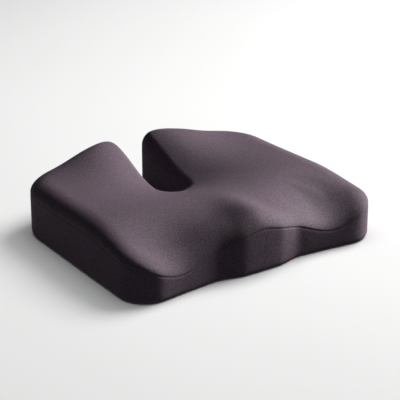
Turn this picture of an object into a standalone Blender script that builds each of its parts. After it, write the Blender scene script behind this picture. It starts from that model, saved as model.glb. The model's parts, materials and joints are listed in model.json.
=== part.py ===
"""Contoured seat cushion with a tailbone cutout, in metres, +Z up.

The origin stands on the floor at the middle of the footprint. The front edge, with the
two thigh grooves and the pommel between them, faces -Y, and the cutout opens at +Y.

From the inside out the cushion is a moulded foam core, a thin knitted liner with a slit
on the right-hand wall, and a sewn cover: one top panel, a wall band in two lengths with
a zip let in on the right, and a bottom panel. All soft layers are nested offsets of one
shape: a plan outline, a height over the plan, a rolled top edge and a rounded foot.
"""

import math

import bmesh
import bpy
import numpy as np
from mathutils import Matrix, Vector
from mathutils.geometry import delaunay_2d_cdt

# Overall sizes
WIDTH = 0.4510            # between the side lines, where they meet the front corners
DEPTH = 0.3820            # front corner to the rear end of the lobes
SEAT_HEIGHT = 0.0860      # height of the plain seat, before any contour is added

# Plan of one half: each corner is set from the middle line and the front or rear edge
REAR_TAPER = 0.0110       # how much nearer the side line is at the rear corner
REAR_CORNER_INSET = 0.0240
REAR_CORNER_RADIUS = 0.0690
FRONT_CORNER_RADIUS = 0.0450
LOBE_X = 0.1365
LOBE_INSET = 0.0115
GROOVE_X = 0.0720
GROOVE_INSET = 0.0175
POMMEL_X = 0.0350
POMMEL_INSET = 0.0070
FRONT_WAVE_RADIUS = 0.0450
CUTOUT_WIDTH = 0.0410
CUTOUT_LENGTH = 0.1520
CUTOUT_END_RADIUS = 0.0195

# Contour of the seat: heights added to or taken from SEAT_HEIGHT
FRONT_DROP = 0.0066
FRONT_DROP_START = 0.0020     # from the front edge, where the drop is whole
FRONT_DROP_END = 0.1490       # from the front edge, where it has faded out
THIGH_GROOVE_DEPTH = 0.0307
THIGH_GROOVE_X = 0.1374
THIGH_GROOVE_SPREAD = 0.0656
POMMEL_DIP = 0.0070
POMMEL_SPREAD = 0.0300
RIDGE_RISE = 0.0170            # crest that runs back from the middle of the front edge
RIDGE_SPREAD_X = 0.0310
RIDGE_SPREAD_Y = 0.0650
RIDGE_FROM_FRONT = 0.0350
DISH_DEPTH = 0.0409
DISH_FROM_REAR = 0.1140
DISH_SPREAD_X = 0.1100
DISH_SPREAD_Y = 0.0900
LOBE_RISE = 0.0319
LOBE_RISE_X = 0.0584
LOBE_RISE_SPREAD = 0.0758
LOBE_RISE_START = 0.2110      # from the rear edge, where the rise begins
LOBE_RISE_FULL = 0.0310       # from the rear edge, where it is whole

# Edges of the section
ROLL_RADIUS = 0.0328          # how far in the rolled top edge reaches
CUTOUT_ROLL_RADIUS = 0.0180    # the same along the cutout
ROLL_DROP = 0.0185            # how far down it reaches, which is where the seam runs
MOUTH_EASE = 0.0022           # the cutout's mouth is this much rounder than the roll
ROLL_BLEND_START = CUTOUT_WIDTH / 2 + CUTOUT_ROLL_RADIUS + 2 * MOUTH_EASE
ROLL_BLEND_END = ROLL_BLEND_START + 0.0470
FOOT_RADIUS = 0.0080

# Layers and clearances
GAP = 0.0003
COVER = 0.0018
LINER = 0.0008
BOTTOM = 0.0018
BAND_LIFT = 0.0004            # the band's foot stays clear of the floor

# Zip in the right-hand wall
ZIP_CORNER_MARGIN = 0.0130    # from each rounded corner of the wall to the zip's window
ZIP_WINDOW_HEIGHT = 0.0100
ZIP_HEIGHT = 0.0300           # middle of the zip above the floor
END_TAB_LENGTH = 0.0100
TAPE = 0.0005
CHAIN_GAP = 0.0020            # open lane between the two rows, for the slider's neck
CHAIN_WIDTH = 0.0022
CHAIN_THICKNESS = 0.0018
SLIDER_LENGTH = 0.0130
SLIDER_PLATE = 0.0010
SLIDER_FLANGE = 0.0008
SLIDER_NECK = 0.0010
NECK_LENGTH = 0.0030
BRIDGE_LENGTH = 0.0070
BRIDGE_WIDTH = 0.0018
BRIDGE_WALL = 0.0010
PULL_THICKNESS = 0.0012
PULL_WIDTH = 0.0070
PULL_LENGTH = 0.0250
PULL_ARM = 0.0014
PULL_PLAY = 0.0004
PULL_HOLE_LENGTH = 0.0040
PULL_HOLE_WIDTH = 0.0024
PULL_HOLE_CORNER = 0.0008
PLATE_CORNER = 0.0012
TAB_CORNER = 0.0015

# Levels of the zip, out from the wall's face, in which the middle of the chain lies
CHAIN_FACE = CHAIN_THICKNESS / 2
TAPE_LEVEL = -CHAIN_FACE - GAP - TAPE / 2
TOP_PLATE_FROM = CHAIN_FACE + GAP
BACK_PLATE_TO = TAPE_LEVEL - TAPE / 2 - GAP
PIVOT_LEVEL = TOP_PLATE_FROM + SLIDER_PLATE + PULL_PLAY + PULL_THICKNESS / 2
BRIDGE_TOP = PIVOT_LEVEL + PULL_THICKNESS / 2 + PULL_PLAY + BRIDGE_WALL

# Care label on the rear wall
LABEL_WIDTH = 0.0260
LABEL_HEIGHT = 0.0180
LABEL_THICKNESS = 0.0005
LABEL_CORNER = 0.0015

# Fineness of the mesh
ARC_STEP = math.radians(15.0)
EDGE_STEP = 0.0300
GRID_STEP = 0.0300
GRID_MARGIN = 0.0120
ROLL_ANGLES = tuple(math.radians(angle) for angle in (0.0, 22.5, 45.0, 67.5, 90.0))
FOOT_ANGLES = tuple(math.radians(angle) for angle in (90.0, 45.0, 0.0))

FRONT_Y = -DEPTH / 2
REAR_Y = DEPTH / 2

COLOURS = {
    "cover": (0.088, 0.066, 0.083, 1.0),
    "bottom": (0.030, 0.028, 0.030, 1.0),
    "liner": (0.620, 0.610, 0.590, 1.0),
    "foam": (0.780, 0.740, 0.600, 1.0),
    "zip": (0.040, 0.034, 0.038, 1.0),
    "metal": (0.180, 0.170, 0.175, 1.0),
    "label": (0.800, 0.800, 0.780, 1.0),
}


def clear_scene():
    """Remove every object that the file opened with."""
    for item in list(bpy.data.objects):
        bpy.data.objects.remove(item, do_unlink=True)


def material(name, colour, roughness, metallic=0.0):
    """A Principled material with one colour."""
    made = bpy.data.materials.new(name)
    made.use_nodes = True
    shader = made.node_tree.nodes["Principled BSDF"]
    shader.inputs["Base Color"].default_value = COLOURS[colour]
    shader.inputs["Roughness"].default_value = roughness
    shader.inputs["Metallic"].default_value = metallic
    return made


def ease(start, end, value):
    """0 before start, 1 after end and a smooth S between them."""
    share = np.clip((value - start) / (end - start), 0.0, 1.0)
    return share * share * (3.0 - 2.0 * share)


def bell(value, spread):
    """1 at the middle, falling away smoothly over the spread."""
    return np.exp(-((value / spread) ** 2))


def seat_height(x, y):
    """Height of the cover's outer face over the plan."""
    side = np.abs(x)
    front = 1.0 - ease(FRONT_Y + FRONT_DROP_START, FRONT_Y + FRONT_DROP_END, y)
    rear = ease(REAR_Y - LOBE_RISE_START, REAR_Y - LOBE_RISE_FULL, y)
    dish = bell(x, DISH_SPREAD_X) * bell(y - REAR_Y + DISH_FROM_REAR, DISH_SPREAD_Y)
    groove = THIGH_GROOVE_DEPTH * bell(side - THIGH_GROOVE_X, THIGH_GROOVE_SPREAD)
    dip = POMMEL_DIP * bell(x, POMMEL_SPREAD)
    ridge = RIDGE_RISE * bell(x, RIDGE_SPREAD_X) * bell(y - FRONT_Y - RIDGE_FROM_FRONT, RIDGE_SPREAD_Y)
    lobe = LOBE_RISE * bell(side - LOBE_RISE_X, LOBE_RISE_SPREAD)
    return SEAT_HEIGHT - (dip + FRONT_DROP + groove) * front + ridge - DISH_DEPTH * dish + lobe * rear


def roll_reach(outline):
    """How far in the rolled edge reaches from each point of the outline, less along the cutout."""
    blend = ease(ROLL_BLEND_START, ROLL_BLEND_END, np.abs(outline[:, 0]))
    cutout = np.where(outline[:, 1] > 0.0, 1.0 - blend, 0.0)
    return ROLL_RADIUS - (ROLL_RADIUS - CUTOUT_ROLL_RADIUS) * cutout


def half_corners():
    """Corners of the right half, from the front round to the cutout: name, x, y, radius."""
    half = WIDTH / 2
    return [
        ("pommel", POMMEL_X, FRONT_Y + POMMEL_INSET, FRONT_WAVE_RADIUS),
        ("groove", GROOVE_X, FRONT_Y + GROOVE_INSET, FRONT_WAVE_RADIUS),
        ("thigh", LOBE_X, FRONT_Y + LOBE_INSET, FRONT_WAVE_RADIUS),
        ("front", half, FRONT_Y, FRONT_CORNER_RADIUS),
        ("rear", half - REAR_TAPER, REAR_Y - REAR_CORNER_INSET, REAR_CORNER_RADIUS),
        ("mouth", CUTOUT_WIDTH / 2, REAR_Y, CUTOUT_ROLL_RADIUS + MOUTH_EASE),
        ("end", CUTOUT_WIDTH / 2, REAR_Y - CUTOUT_LENGTH, CUTOUT_END_RADIUS),
    ]


def corner_arc(before, corner, after, radius):
    """Points of the arc that rounds a corner, from its first tangent point to its last."""
    back = (before - corner) / np.linalg.norm(before - corner)
    ahead = (after - corner) / np.linalg.norm(after - corner)
    half_angle = math.acos(np.clip(back @ ahead, -1.0, 1.0)) / 2
    bisector = (back + ahead) / np.linalg.norm(back + ahead)
    centre = corner + bisector * radius / math.sin(half_angle)
    reach = radius / math.tan(half_angle)
    first = corner + back * reach - centre
    last = corner + ahead * reach - centre
    turn = math.atan2(first[0] * last[1] - first[1] * last[0], first @ last)
    steps = max(2, math.ceil(abs(turn) / ARC_STEP))
    angles = math.atan2(first[1], first[0]) + turn * np.linspace(0.0, 1.0, steps + 1)
    return centre + radius * np.stack([np.cos(angles), np.sin(angles)], axis=1)


def plan_outline():
    """The closed plan outline, anticlockwise, and the index of each named point on it."""
    right = [("right_" + name, x, y, radius) for name, x, y, radius in half_corners()]
    left = [("left_" + name, -x, y, radius) for name, x, y, radius in reversed(half_corners())]
    corners = right + left
    places = [np.array([x, y]) for _, x, y, _ in corners]
    arcs = []
    for index, (_, _, _, radius) in enumerate(corners):
        following = places[(index + 1) % len(corners)]
        arcs.append(corner_arc(places[index - 1], places[index], following, radius))
    points = []
    marks = {}
    for index, (name, _, _, _) in enumerate(corners):
        marks[name + "_from"] = len(points)
        points.extend(arcs[index])
        marks[name + "_to"] = len(points) - 1
        start = arcs[index][-1]
        run = arcs[(index + 1) % len(corners)][0] - start
        length = float(np.linalg.norm(run))
        stops = np.linspace(0.0, 1.0, max(1, math.ceil(length / EDGE_STEP)) + 1)[1:-1]
        if name == "right_front":
            window = length - 2 * ZIP_CORNER_MARGIN
            panes = math.ceil(window / EDGE_STEP)
            stops = 0.5 + window / length * np.linspace(-0.5, 0.5, panes + 1)
            marks["zip_front"] = len(points)
            marks["zip_rear"] = len(points) + len(stops) - 1
        points.extend(start + run * stop for stop in stops)
    outline = np.array(points)
    middle = (outline.max(axis=0) + outline.min(axis=0)) / 2
    return outline - middle, marks


def offset_directions(outline):
    """Inward steps that move every side of the outline by the same distance."""
    ahead = np.roll(outline, -1, axis=0) - outline
    ahead /= np.linalg.norm(ahead, axis=1)[:, None]
    normal = np.stack([-ahead[:, 1], ahead[:, 0]], axis=1)
    joined = normal + np.roll(normal, 1, axis=0)
    joined /= np.linalg.norm(joined, axis=1)[:, None]
    return joined / np.sum(joined * normal, axis=1)[:, None]


class Shape:
    """The outline with its inward steps, and the rings of every nested layer."""

    def __init__(self):
        self.outline, self.marks = plan_outline()
        self.inward = offset_directions(self.outline)
        zip_ends = self.outline[[self.marks["zip_front"], self.marks["zip_rear"]]]
        self.zip_length = float(np.linalg.norm(zip_ends[1] - zip_ends[0]))
        self.cap_points, self.cap_faces = self.top_cap()

    def ring(self, inset, height):
        """A level ring at an inset."""
        plan = self.outline + self.inward * inset
        return np.column_stack([plan, np.full(len(plan), height)])

    def roll_ring(self, depth, angle, lift=0.0):
        """A ring of the rolled top edge, for the layer that lies depth under the cover's face."""
        inset = depth + (roll_reach(self.outline) - depth) * (1.0 - math.cos(angle))
        plan = self.outline + self.inward * inset[:, None]
        height = seat_height(plan[:, 0], plan[:, 1]) - ROLL_DROP
        return np.column_stack([plan, height + (ROLL_DROP - depth) * math.sin(angle) + lift])

    def foot_rings(self, depth, lift=0.0):
        """Rings of the rounded foot, from the underside out to the wall."""
        rings = []
        for angle in FOOT_ANGLES:
            inset = depth + (FOOT_RADIUS - depth) * (1.0 - math.cos(angle))
            height = depth + lift + (FOOT_RADIUS - depth - lift) * (1.0 - math.sin(angle))
            rings.append(self.ring(inset, height))
        return rings

    def top_cap(self):
        """Plan points inside the roll and the triangles that join them to its inner ring."""
        edge = self.roll_ring(0.0, ROLL_ANGLES[-1])[:, :2]
        low = edge.min(axis=0) + GRID_STEP / 2
        high = edge.max(axis=0)
        across = np.arange(low[0], high[0], GRID_STEP)
        along = np.arange(low[1], high[1], GRID_STEP)
        columns, rows = np.meshgrid(across, along)
        grid = np.column_stack([columns.ravel(), rows.ravel()])
        grid = grid[inside(edge, grid) & (edge_distance(edge, grid) > GRID_MARGIN)]
        plan = [Vector(point) for point in np.vstack([edge, grid])]
        found = delaunay_2d_cdt(plan, [], [list(range(len(edge)))], 1, 1e-7)
        source = [origins[0] for origins in found[3]]
        faces = [[source[vertex] for vertex in face] for face in found[2]]
        return grid, faces

    def cap(self, depth):
        """Points of the seat's middle, for the layer that lies depth under the cover's face."""
        height = seat_height(self.cap_points[:, 0], self.cap_points[:, 1]) - depth
        return np.column_stack([self.cap_points, height])


def inside(polygon, points):
    """Whether each point lies inside the polygon, by counting the sides it passes."""
    following = np.roll(polygon, -1, axis=0)
    crosses = (polygon[:, 1] > points[:, 1:2]) != (following[:, 1] > points[:, 1:2])
    rise = following[:, 1] - polygon[:, 1]
    rise = np.where(rise == 0.0, 1.0, rise)
    share = (points[:, 1:2] - polygon[:, 1]) / rise
    reach = polygon[:, 0] + share * (following[:, 0] - polygon[:, 0])
    return np.sum(crosses & (points[:, 0:1] < reach), axis=1) % 2 == 1


def edge_distance(polygon, points):
    """Distance from each point to the polygon's nearest side."""
    side = np.roll(polygon, -1, axis=0) - polygon
    away = points[:, None] - polygon
    share = np.clip(np.sum(away * side, axis=2) / np.sum(side * side, axis=1), 0.0, 1.0)
    return np.linalg.norm(away - share[..., None] * side, axis=2).min(axis=1)


class Body:
    """Points and faces of one solid, gathered before they become a mesh."""

    def __init__(self):
        self.points = []
        self.faces = []

    def add(self, points):
        """Add points and return the indices they got."""
        first = len(self.points)
        self.points.extend(tuple(point) for point in points)
        return list(range(first, len(self.points)))

    def loop_band(self, lower, upper, flip=False):
        """Faces between two closed rings of indices."""
        self.open_band(lower + lower[:1], upper + upper[:1], flip)

    def open_band(self, lower, upper, flip=False):
        """Faces between two open rows of indices, split alike in every layer so that they nest."""
        for index in range(len(lower) - 1):
            after = index + 1
            near = [lower[index], lower[after], upper[after]]
            far = [lower[index], upper[after], upper[index]]
            self.faces.extend([near[::-1], far[::-1]] if flip else [near, far])

    def build(self, name, finish, matrix=None, smooth_below=35.0):
        """Make the object, shaded smooth except at its real edges."""
        mesh = bpy.data.meshes.new(name)
        mesh.from_pydata(self.points, [], self.faces)
        return finish_object(name, mesh, finish, matrix, smooth_below)


def finish_object(name, mesh, finish, matrix=None, smooth_below=35.0):
    """Link a mesh as a named object with its material."""
    mesh.materials.append(finish)
    mesh.shade_smooth()
    mesh.set_sharp_from_angle(angle=math.radians(smooth_below))
    item = bpy.data.objects.new(name, mesh)
    bpy.context.scene.collection.objects.link(item)
    if matrix is not None:
        item.matrix_world = matrix
    return item


def closed_surface(body, shape, depth, flip):
    """The whole outer face of a layer: flat underside, foot, wall, roll and seat."""
    rings = shape.foot_rings(depth) + [shape.roll_ring(depth, angle) for angle in ROLL_ANGLES]
    rows = [body.add(ring) for ring in rings]
    for lower, upper in zip(rows, rows[1:]):
        body.loop_band(lower, upper, flip)
    body.faces.append(rows[0] if flip else rows[0][::-1])
    seat_cap(body, shape, depth, rows[-1], flip)


def seat_cap(body, shape, depth, inner_ring, flip):
    """Close the top over the roll's inner ring."""
    known = inner_ring + body.add(shape.cap(depth))
    for face in shape.cap_faces:
        mapped = [known[vertex] for vertex in face]
        body.faces.append(mapped[::-1] if flip else mapped)


def foam_core(shape, finish):
    """The moulded foam, one solid block."""
    body = Body()
    closed_surface(body, shape, COVER + LINER + 2 * GAP, flip=False)
    return body.build("foam_core", finish)


def inner_liner(shape, finish, frame):
    """The knitted liner, a closed sock with a slit behind the zip to put the foam in."""
    body = Body()
    outside = COVER + GAP
    closed_surface(body, shape, outside, flip=False)
    closed_surface(body, shape, outside + LINER, flip=True)
    liner = body.build("inner_liner", finish)
    slit = (shape.zip_length - 2 * GAP, ZIP_WINDOW_HEIGHT, 4 * LINER)
    cutter = block("liner_slit_cutter", finish, slit, (0.0, 0.0, -outside - LINER / 2), frame)
    cut(liner, cutter)
    return liner


def top_panel(shape, finish):
    """The cover's seat panel, which rolls over the edge down to the seam."""
    body = Body()
    edges = []
    for depth, flip in ((0.0, False), (COVER, True)):
        rings = [shape.roll_ring(depth, angle) for angle in ROLL_ANGLES]
        rings[0] = shape.roll_ring(depth, ROLL_ANGLES[0], lift=GAP / 2)
        rows = [body.add(ring) for ring in rings]
        for lower, upper in zip(rows, rows[1:]):
            body.loop_band(lower, upper, flip)
        seat_cap(body, shape, depth, rows[-1], flip)
        edges.append(rows[0])
    body.loop_band(edges[1], edges[0])
    return body.build("top_panel", finish)


def bottom_panel(shape, finish):
    """The flat anti-slip panel that the cushion rests on."""
    body = Body()
    inset = FOOT_RADIUS + GAP
    lower = body.add(shape.ring(inset, 0.0))
    upper = body.add(shape.ring(inset, BOTTOM))
    body.loop_band(lower, upper)
    body.faces.append(lower[::-1])
    body.faces.append(upper)
    return body.build("bottom_panel", finish)


def wall_piece(name, shape, finish, start, stop, low=None, high=None):
    """A length of the wall band between two outline points, open above or below a height.

    Without low the piece starts at the bottom panel, and without high it ends at the seam.
    """
    count = len(shape.outline)
    columns = [(start + step) % count for step in range((stop - start) % count + 1)]
    body = Body()
    sheets = []
    for depth, lift in ((0.0, BAND_LIFT), (COVER, 0.0)):
        rings = [shape.ring(depth, low)] if low else shape.foot_rings(depth, lift)
        rings.append(shape.ring(depth, high) if high else shape.roll_ring(depth, 0.0, -GAP / 2))
        rows = []
        for ring in rings:
            row = ring[columns]
            row[0] += GAP / 2 * unit(row[1] - row[0], flat=True)
            row[-1] += GAP / 2 * unit(row[-2] - row[-1], flat=True)
            rows.append(body.add(row))
        sheets.append(rows)
    outer, inner = sheets
    for lower, upper in zip(outer, outer[1:]):
        body.open_band(lower, upper)
    for lower, upper in zip(inner, inner[1:]):
        body.open_band(lower, upper, flip=True)
    body.open_band(inner[0], outer[0])
    body.open_band(outer[-1], inner[-1])
    for level in range(len(outer) - 1):
        here, above = level, level + 1
        body.faces.append([inner[here][0], outer[here][0], outer[above][0], inner[above][0]])
        body.faces.append([outer[here][-1], inner[here][-1], inner[above][-1], outer[above][-1]])
    return body.build(name, finish)


def unit(vector, flat=False):
    """The vector at length 1, level when flat."""
    if flat:
        vector = vector * np.array([1.0, 1.0, 0.0])
    return vector / np.linalg.norm(vector)


def wall_frame(shape, first, last, height):
    """A frame on the wall's face between two points: X along it, Y up, Z straight out."""
    start = shape.outline[first]
    end = shape.outline[last]
    along = Vector((*(end - start), 0.0)).normalized()
    up = Vector((0.0, 0.0, 1.0))
    out = along.cross(up)
    middle = (start + end) / 2
    frame = Matrix((along, up, out)).transposed().to_4x4()
    frame.translation = Vector((middle[0], middle[1], height))
    return frame


def block_mesh(size, centre):
    """A box in a bmesh, centred in the piece's own frame."""
    made = bmesh.new()
    matrix = Matrix.Translation(centre) @ Matrix.Diagonal((*size, 1.0))
    bmesh.ops.create_cube(made, size=1.0, matrix=matrix)
    return made


def block(name, finish, size, centre, frame, bevel=0.0):
    """A box object, with its upright edges beveled when asked."""
    made = block_mesh(size, centre)
    if bevel:
        edges = [edge for edge in made.edges if abs((edge.verts[0].co - edge.verts[1].co).z) > 1e-6]
        bmesh.ops.bevel(made, geom=edges, offset=bevel, segments=3, affect="EDGES", profile=0.5)
    mesh = bpy.data.meshes.new(name)
    made.to_mesh(mesh)
    made.free()
    return finish_object(name, mesh, finish, frame)


def cut(item, cutter):
    """Subtract a cutter, which stays in the file as a wire guide."""
    carve(item, cutter, "DIFFERENCE")


def carve(item, tool, operation):
    """Add an exact Boolean and hide its tool."""
    tool.hide_render = True
    tool.display_type = "WIRE"
    step = item.modifiers.new(tool.name, "BOOLEAN")
    step.operation = operation
    step.object = tool
    step.solver = "EXACT"


def zip_rows(zip_length, frame, tape_finish, chain_finish):
    """Both tapes and both rows of the chain, between the two end tabs."""
    length = zip_length - 2 * (END_TAB_LENGTH + GAP)
    tape_height = ZIP_WINDOW_HEIGHT / 2 - GAP - CHAIN_GAP / 2
    for name, side in (("upper", 1.0), ("lower", -1.0)):
        tape_middle = side * (CHAIN_GAP + tape_height) / 2
        size = (length, tape_height, TAPE)
        block("zip_tape_" + name, tape_finish, size, (0.0, tape_middle, TAPE_LEVEL), frame)
        chain_middle = side * (CHAIN_GAP + CHAIN_WIDTH) / 2
        size = (length, CHAIN_WIDTH, CHAIN_THICKNESS)
        block("zip_chain_" + name, chain_finish, size, (0.0, chain_middle, 0.0), frame)


def end_tabs(zip_length, frame, finish):
    """Fabric tabs that close the window past both ends of the chain."""
    height = ZIP_WINDOW_HEIGHT - 2 * GAP
    shift = (zip_length - END_TAB_LENGTH - GAP) / 2
    for name, side in (("front", -1.0), ("rear", 1.0)):
        size = (END_TAB_LENGTH - GAP, height, COVER)
        block("zip_tab_" + name, finish, size, (side * shift, 0.0, -COVER / 2), frame)


def zip_slider(frame, finish):
    """Slider body: two plates, side flanges over the chain, a neck and the bridge."""
    half_width = CHAIN_GAP / 2 + CHAIN_WIDTH + GAP + SLIDER_FLANGE
    plate = (SLIDER_LENGTH, 2 * half_width, SLIDER_PLATE)
    top_middle = (0.0, 0.0, TOP_PLATE_FROM + SLIDER_PLATE / 2)
    slider = block("zip_slider", finish, plate, top_middle, frame, PLATE_CORNER)
    parts = [("back", plate, (0.0, 0.0, BACK_PLATE_TO - SLIDER_PLATE / 2))]
    neck_height = TOP_PLATE_FROM - BACK_PLATE_TO + SLIDER_PLATE
    neck_middle = (TOP_PLATE_FROM + BACK_PLATE_TO) / 2
    neck_x = (SLIDER_LENGTH - NECK_LENGTH) / 2 - SLIDER_PLATE
    parts.append(("neck", (NECK_LENGTH, SLIDER_NECK, neck_height), (neck_x, 0.0, neck_middle)))
    flange_low = TAPE_LEVEL + TAPE / 2 + GAP
    flange_height = TOP_PLATE_FROM + SLIDER_PLATE / 2 - flange_low
    flange_y = half_width - SLIDER_FLANGE / 2
    for name, side in (("flange_a", 1.0), ("flange_b", -1.0)):
        size = (SLIDER_LENGTH - 2 * SLIDER_PLATE, SLIDER_FLANGE, flange_height)
        parts.append((name, size, (0.0, side * flange_y, flange_low + flange_height / 2)))
    bridge_low = TOP_PLATE_FROM + SLIDER_PLATE / 2
    bridge_height = BRIDGE_TOP - bridge_low
    for name, side in (("leg_a", 1.0), ("leg_b", -1.0)):
        place = (side * (BRIDGE_LENGTH - BRIDGE_WALL) / 2, 0.0, bridge_low + bridge_height / 2)
        parts.append((name, (BRIDGE_WALL, BRIDGE_WIDTH, bridge_height), place))
    roof = (BRIDGE_LENGTH, BRIDGE_WIDTH, BRIDGE_WALL)
    parts.append(("roof", roof, (0.0, 0.0, BRIDGE_TOP - BRIDGE_WALL / 2)))
    for name, size, centre in parts:
        carve(slider, block("slider_" + name, finish, size, centre, frame), "UNION")
    return slider


def zip_pull(frame, finish):
    """Pull tab: a plate with a window for the bridge, whose end bar is the hinge pin."""
    window_half = BRIDGE_WIDTH / 2 + PULL_PLAY
    eye_width = 2 * (window_half + PULL_ARM)
    eye_length = BRIDGE_LENGTH / 2 + 2 * PULL_PLAY + PULL_ARM
    end = PULL_THICKNESS / 2
    eye = (eye_length + end, eye_width, PULL_THICKNESS)
    pull = block("zip_pull", finish, eye, (-(eye_length - end) / 2, 0.0, 0.0), frame, PULL_PLAY)
    tab_length = PULL_LENGTH - eye_length + PULL_ARM
    tab = (tab_length, PULL_WIDTH, PULL_THICKNESS)
    tab_x = -(eye_length - PULL_ARM + tab_length / 2)
    carve(pull, block("pull_tab", finish, tab, (tab_x, 0.0, 0.0), frame, TAB_CORNER), "UNION")
    window_length = eye_length - PULL_ARM - end
    window = (window_length, 2 * window_half, 2 * PULL_THICKNESS)
    window_x = -(end + window_length / 2)
    cut(pull, block("pull_window", finish, window, (window_x, 0.0, 0.0), frame))
    hole = (PULL_HOLE_LENGTH, PULL_HOLE_WIDTH, 2 * PULL_THICKNESS)
    hole_x = -(PULL_LENGTH - PULL_WIDTH / 2)
    cut(pull, block("pull_hole", finish, hole, (hole_x, 0.0, 0.0), frame, PULL_HOLE_CORNER))
    return pull


def care_label(shape, finish):
    """Blank woven label that hangs from the seam on the rear wall."""
    first = shape.marks["right_rear_to"]
    last = shape.marks["right_mouth_from"]
    frame = wall_frame(shape, first, last, 0.0)
    x, y, _ = frame.translation
    seam = float(seat_height(x, y)) - ROLL_DROP
    frame.translation.z = seam - GAP - LABEL_HEIGHT
    size = (LABEL_WIDTH, LABEL_HEIGHT, LABEL_THICKNESS)
    return block("care_label", finish, size, (0.0, 0.0, GAP + LABEL_THICKNESS / 2), frame, LABEL_CORNER)


def main():
    """Build every piece."""
    clear_scene()
    knit = material("cover_knit", "cover", 0.92)
    grip = material("grip_fabric", "bottom", 0.85)
    sock = material("liner_knit", "liner", 0.95)
    foam = material("memory_foam", "foam", 0.90)
    tape = material("zip_tape", "zip", 0.85)
    coil = material("zip_nylon", "zip", 0.45)
    metal = material("zip_metal", "metal", 0.35, 1.0)
    woven = material("label_satin", "label", 0.60)

    shape = Shape()
    marks = shape.marks
    zip_frame = wall_frame(shape, marks["zip_front"], marks["zip_rear"], ZIP_HEIGHT)
    foam_core(shape, foam)
    inner_liner(shape, sock, zip_frame)
    top_panel(shape, knit)
    bottom_panel(shape, grip)

    window_low = ZIP_HEIGHT - ZIP_WINDOW_HEIGHT / 2
    window_high = ZIP_HEIGHT + ZIP_WINDOW_HEIGHT / 2
    wall_piece("zip_strip_lower", shape, knit, marks["zip_front"], marks["zip_rear"], high=window_low)
    wall_piece("zip_strip_upper", shape, knit, marks["zip_front"], marks["zip_rear"], low=window_high)
    wall_piece("band_cutout", shape, knit, marks["zip_rear"], marks["left_mouth_to"])
    wall_piece("band_outer", shape, knit, marks["left_mouth_to"], marks["zip_front"])

    zip_rows(shape.zip_length, zip_frame, tape, coil)
    end_tabs(shape.zip_length, zip_frame, knit)
    run = (shape.zip_length - SLIDER_LENGTH) / 2 - END_TAB_LENGTH - GAP
    slider_frame = zip_frame @ Matrix.Translation((run, 0.0, 0.0))
    zip_slider(slider_frame, metal)
    zip_pull(slider_frame @ Matrix.Translation((0.0, 0.0, PIVOT_LEVEL)), metal)
    care_label(shape, woven)


main()
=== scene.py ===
"""Looks of the contoured seat cushion: a zipped fine-knit cover over a moulded foam block.

The cushion's layers are grids of points worked out with numpy from one plan outline, one
height function and one section, the same design as the CAD solids at a finer step. The parts
of the zip are swept bars and flat plates on a frame of their own in the right wall.
"""
import json
import logging
import math
from dataclasses import dataclass, field
from enum import Enum
from typing import Sequence

import bpy
import numpy as np
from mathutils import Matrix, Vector, geometry


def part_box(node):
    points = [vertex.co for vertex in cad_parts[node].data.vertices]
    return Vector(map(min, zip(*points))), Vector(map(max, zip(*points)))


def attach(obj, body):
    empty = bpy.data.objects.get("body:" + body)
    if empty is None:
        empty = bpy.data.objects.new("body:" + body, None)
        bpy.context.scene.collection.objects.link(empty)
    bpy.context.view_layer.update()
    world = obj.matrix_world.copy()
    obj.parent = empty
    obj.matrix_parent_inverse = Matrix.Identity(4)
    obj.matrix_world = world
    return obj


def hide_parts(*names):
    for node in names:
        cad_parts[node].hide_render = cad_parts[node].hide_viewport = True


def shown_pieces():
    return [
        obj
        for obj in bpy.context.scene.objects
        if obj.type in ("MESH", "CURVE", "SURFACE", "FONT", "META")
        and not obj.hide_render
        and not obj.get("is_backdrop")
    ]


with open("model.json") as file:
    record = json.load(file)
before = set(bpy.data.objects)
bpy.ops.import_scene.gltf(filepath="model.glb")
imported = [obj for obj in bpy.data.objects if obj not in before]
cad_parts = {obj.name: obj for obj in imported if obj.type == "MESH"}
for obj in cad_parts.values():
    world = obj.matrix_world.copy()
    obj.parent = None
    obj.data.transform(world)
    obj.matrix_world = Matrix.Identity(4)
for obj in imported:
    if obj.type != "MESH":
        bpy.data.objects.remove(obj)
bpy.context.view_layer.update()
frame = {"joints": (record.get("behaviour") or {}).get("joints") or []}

LOG = logging.getLogger("seat_cushion")
MM = 0.001
COVER_CLOTH = 1.8 * MM  # thickness of the cover's knit
ZIP_WINDOW = (0.0250, 0.0350)  # heights of the lower and the upper edge of the window
REAR_END_OUT = 0.0030  # from the zip strip's inner side out to the outline, at its rear end
SHARP_ANGLE = math.radians(50.0)  # edges that turn more than this are shaded sharp

Array = np.ndarray
ACROSS = np.array([[0.0, 1.0, 0.0]])  # Y as the one direction of a whole sweep
UPRIGHT = np.array([[0.0, 0.0, 1.0]])  # Z in the same form


# ---------------------------------------------------------------- helpers for curves and fields


def ease(start: float, end: float, value: Array) -> Array:
    """S-shaped step: 0 before start, 1 after end, 3t^2 - 2t^3 between them.

    Args:
        start: Value where the step begins.
        end: Value where it is whole.
        value: Values to read.

    Returns:
        The step at each value.
    """
    share = np.clip((value - start) / (end - start), 0.0, 1.0)
    return share * share * (3.0 - 2.0 * share)


def bell(value: Array, spread: float) -> Array:
    """Bell curve exp(-(value / spread)^2)."""
    return np.exp(-((value / spread) ** 2))


def unit(vectors: Array) -> Array:
    """Vectors scaled to length 1 along the last axis."""
    return vectors / np.linalg.norm(vectors, axis=-1, keepdims=True)


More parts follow.
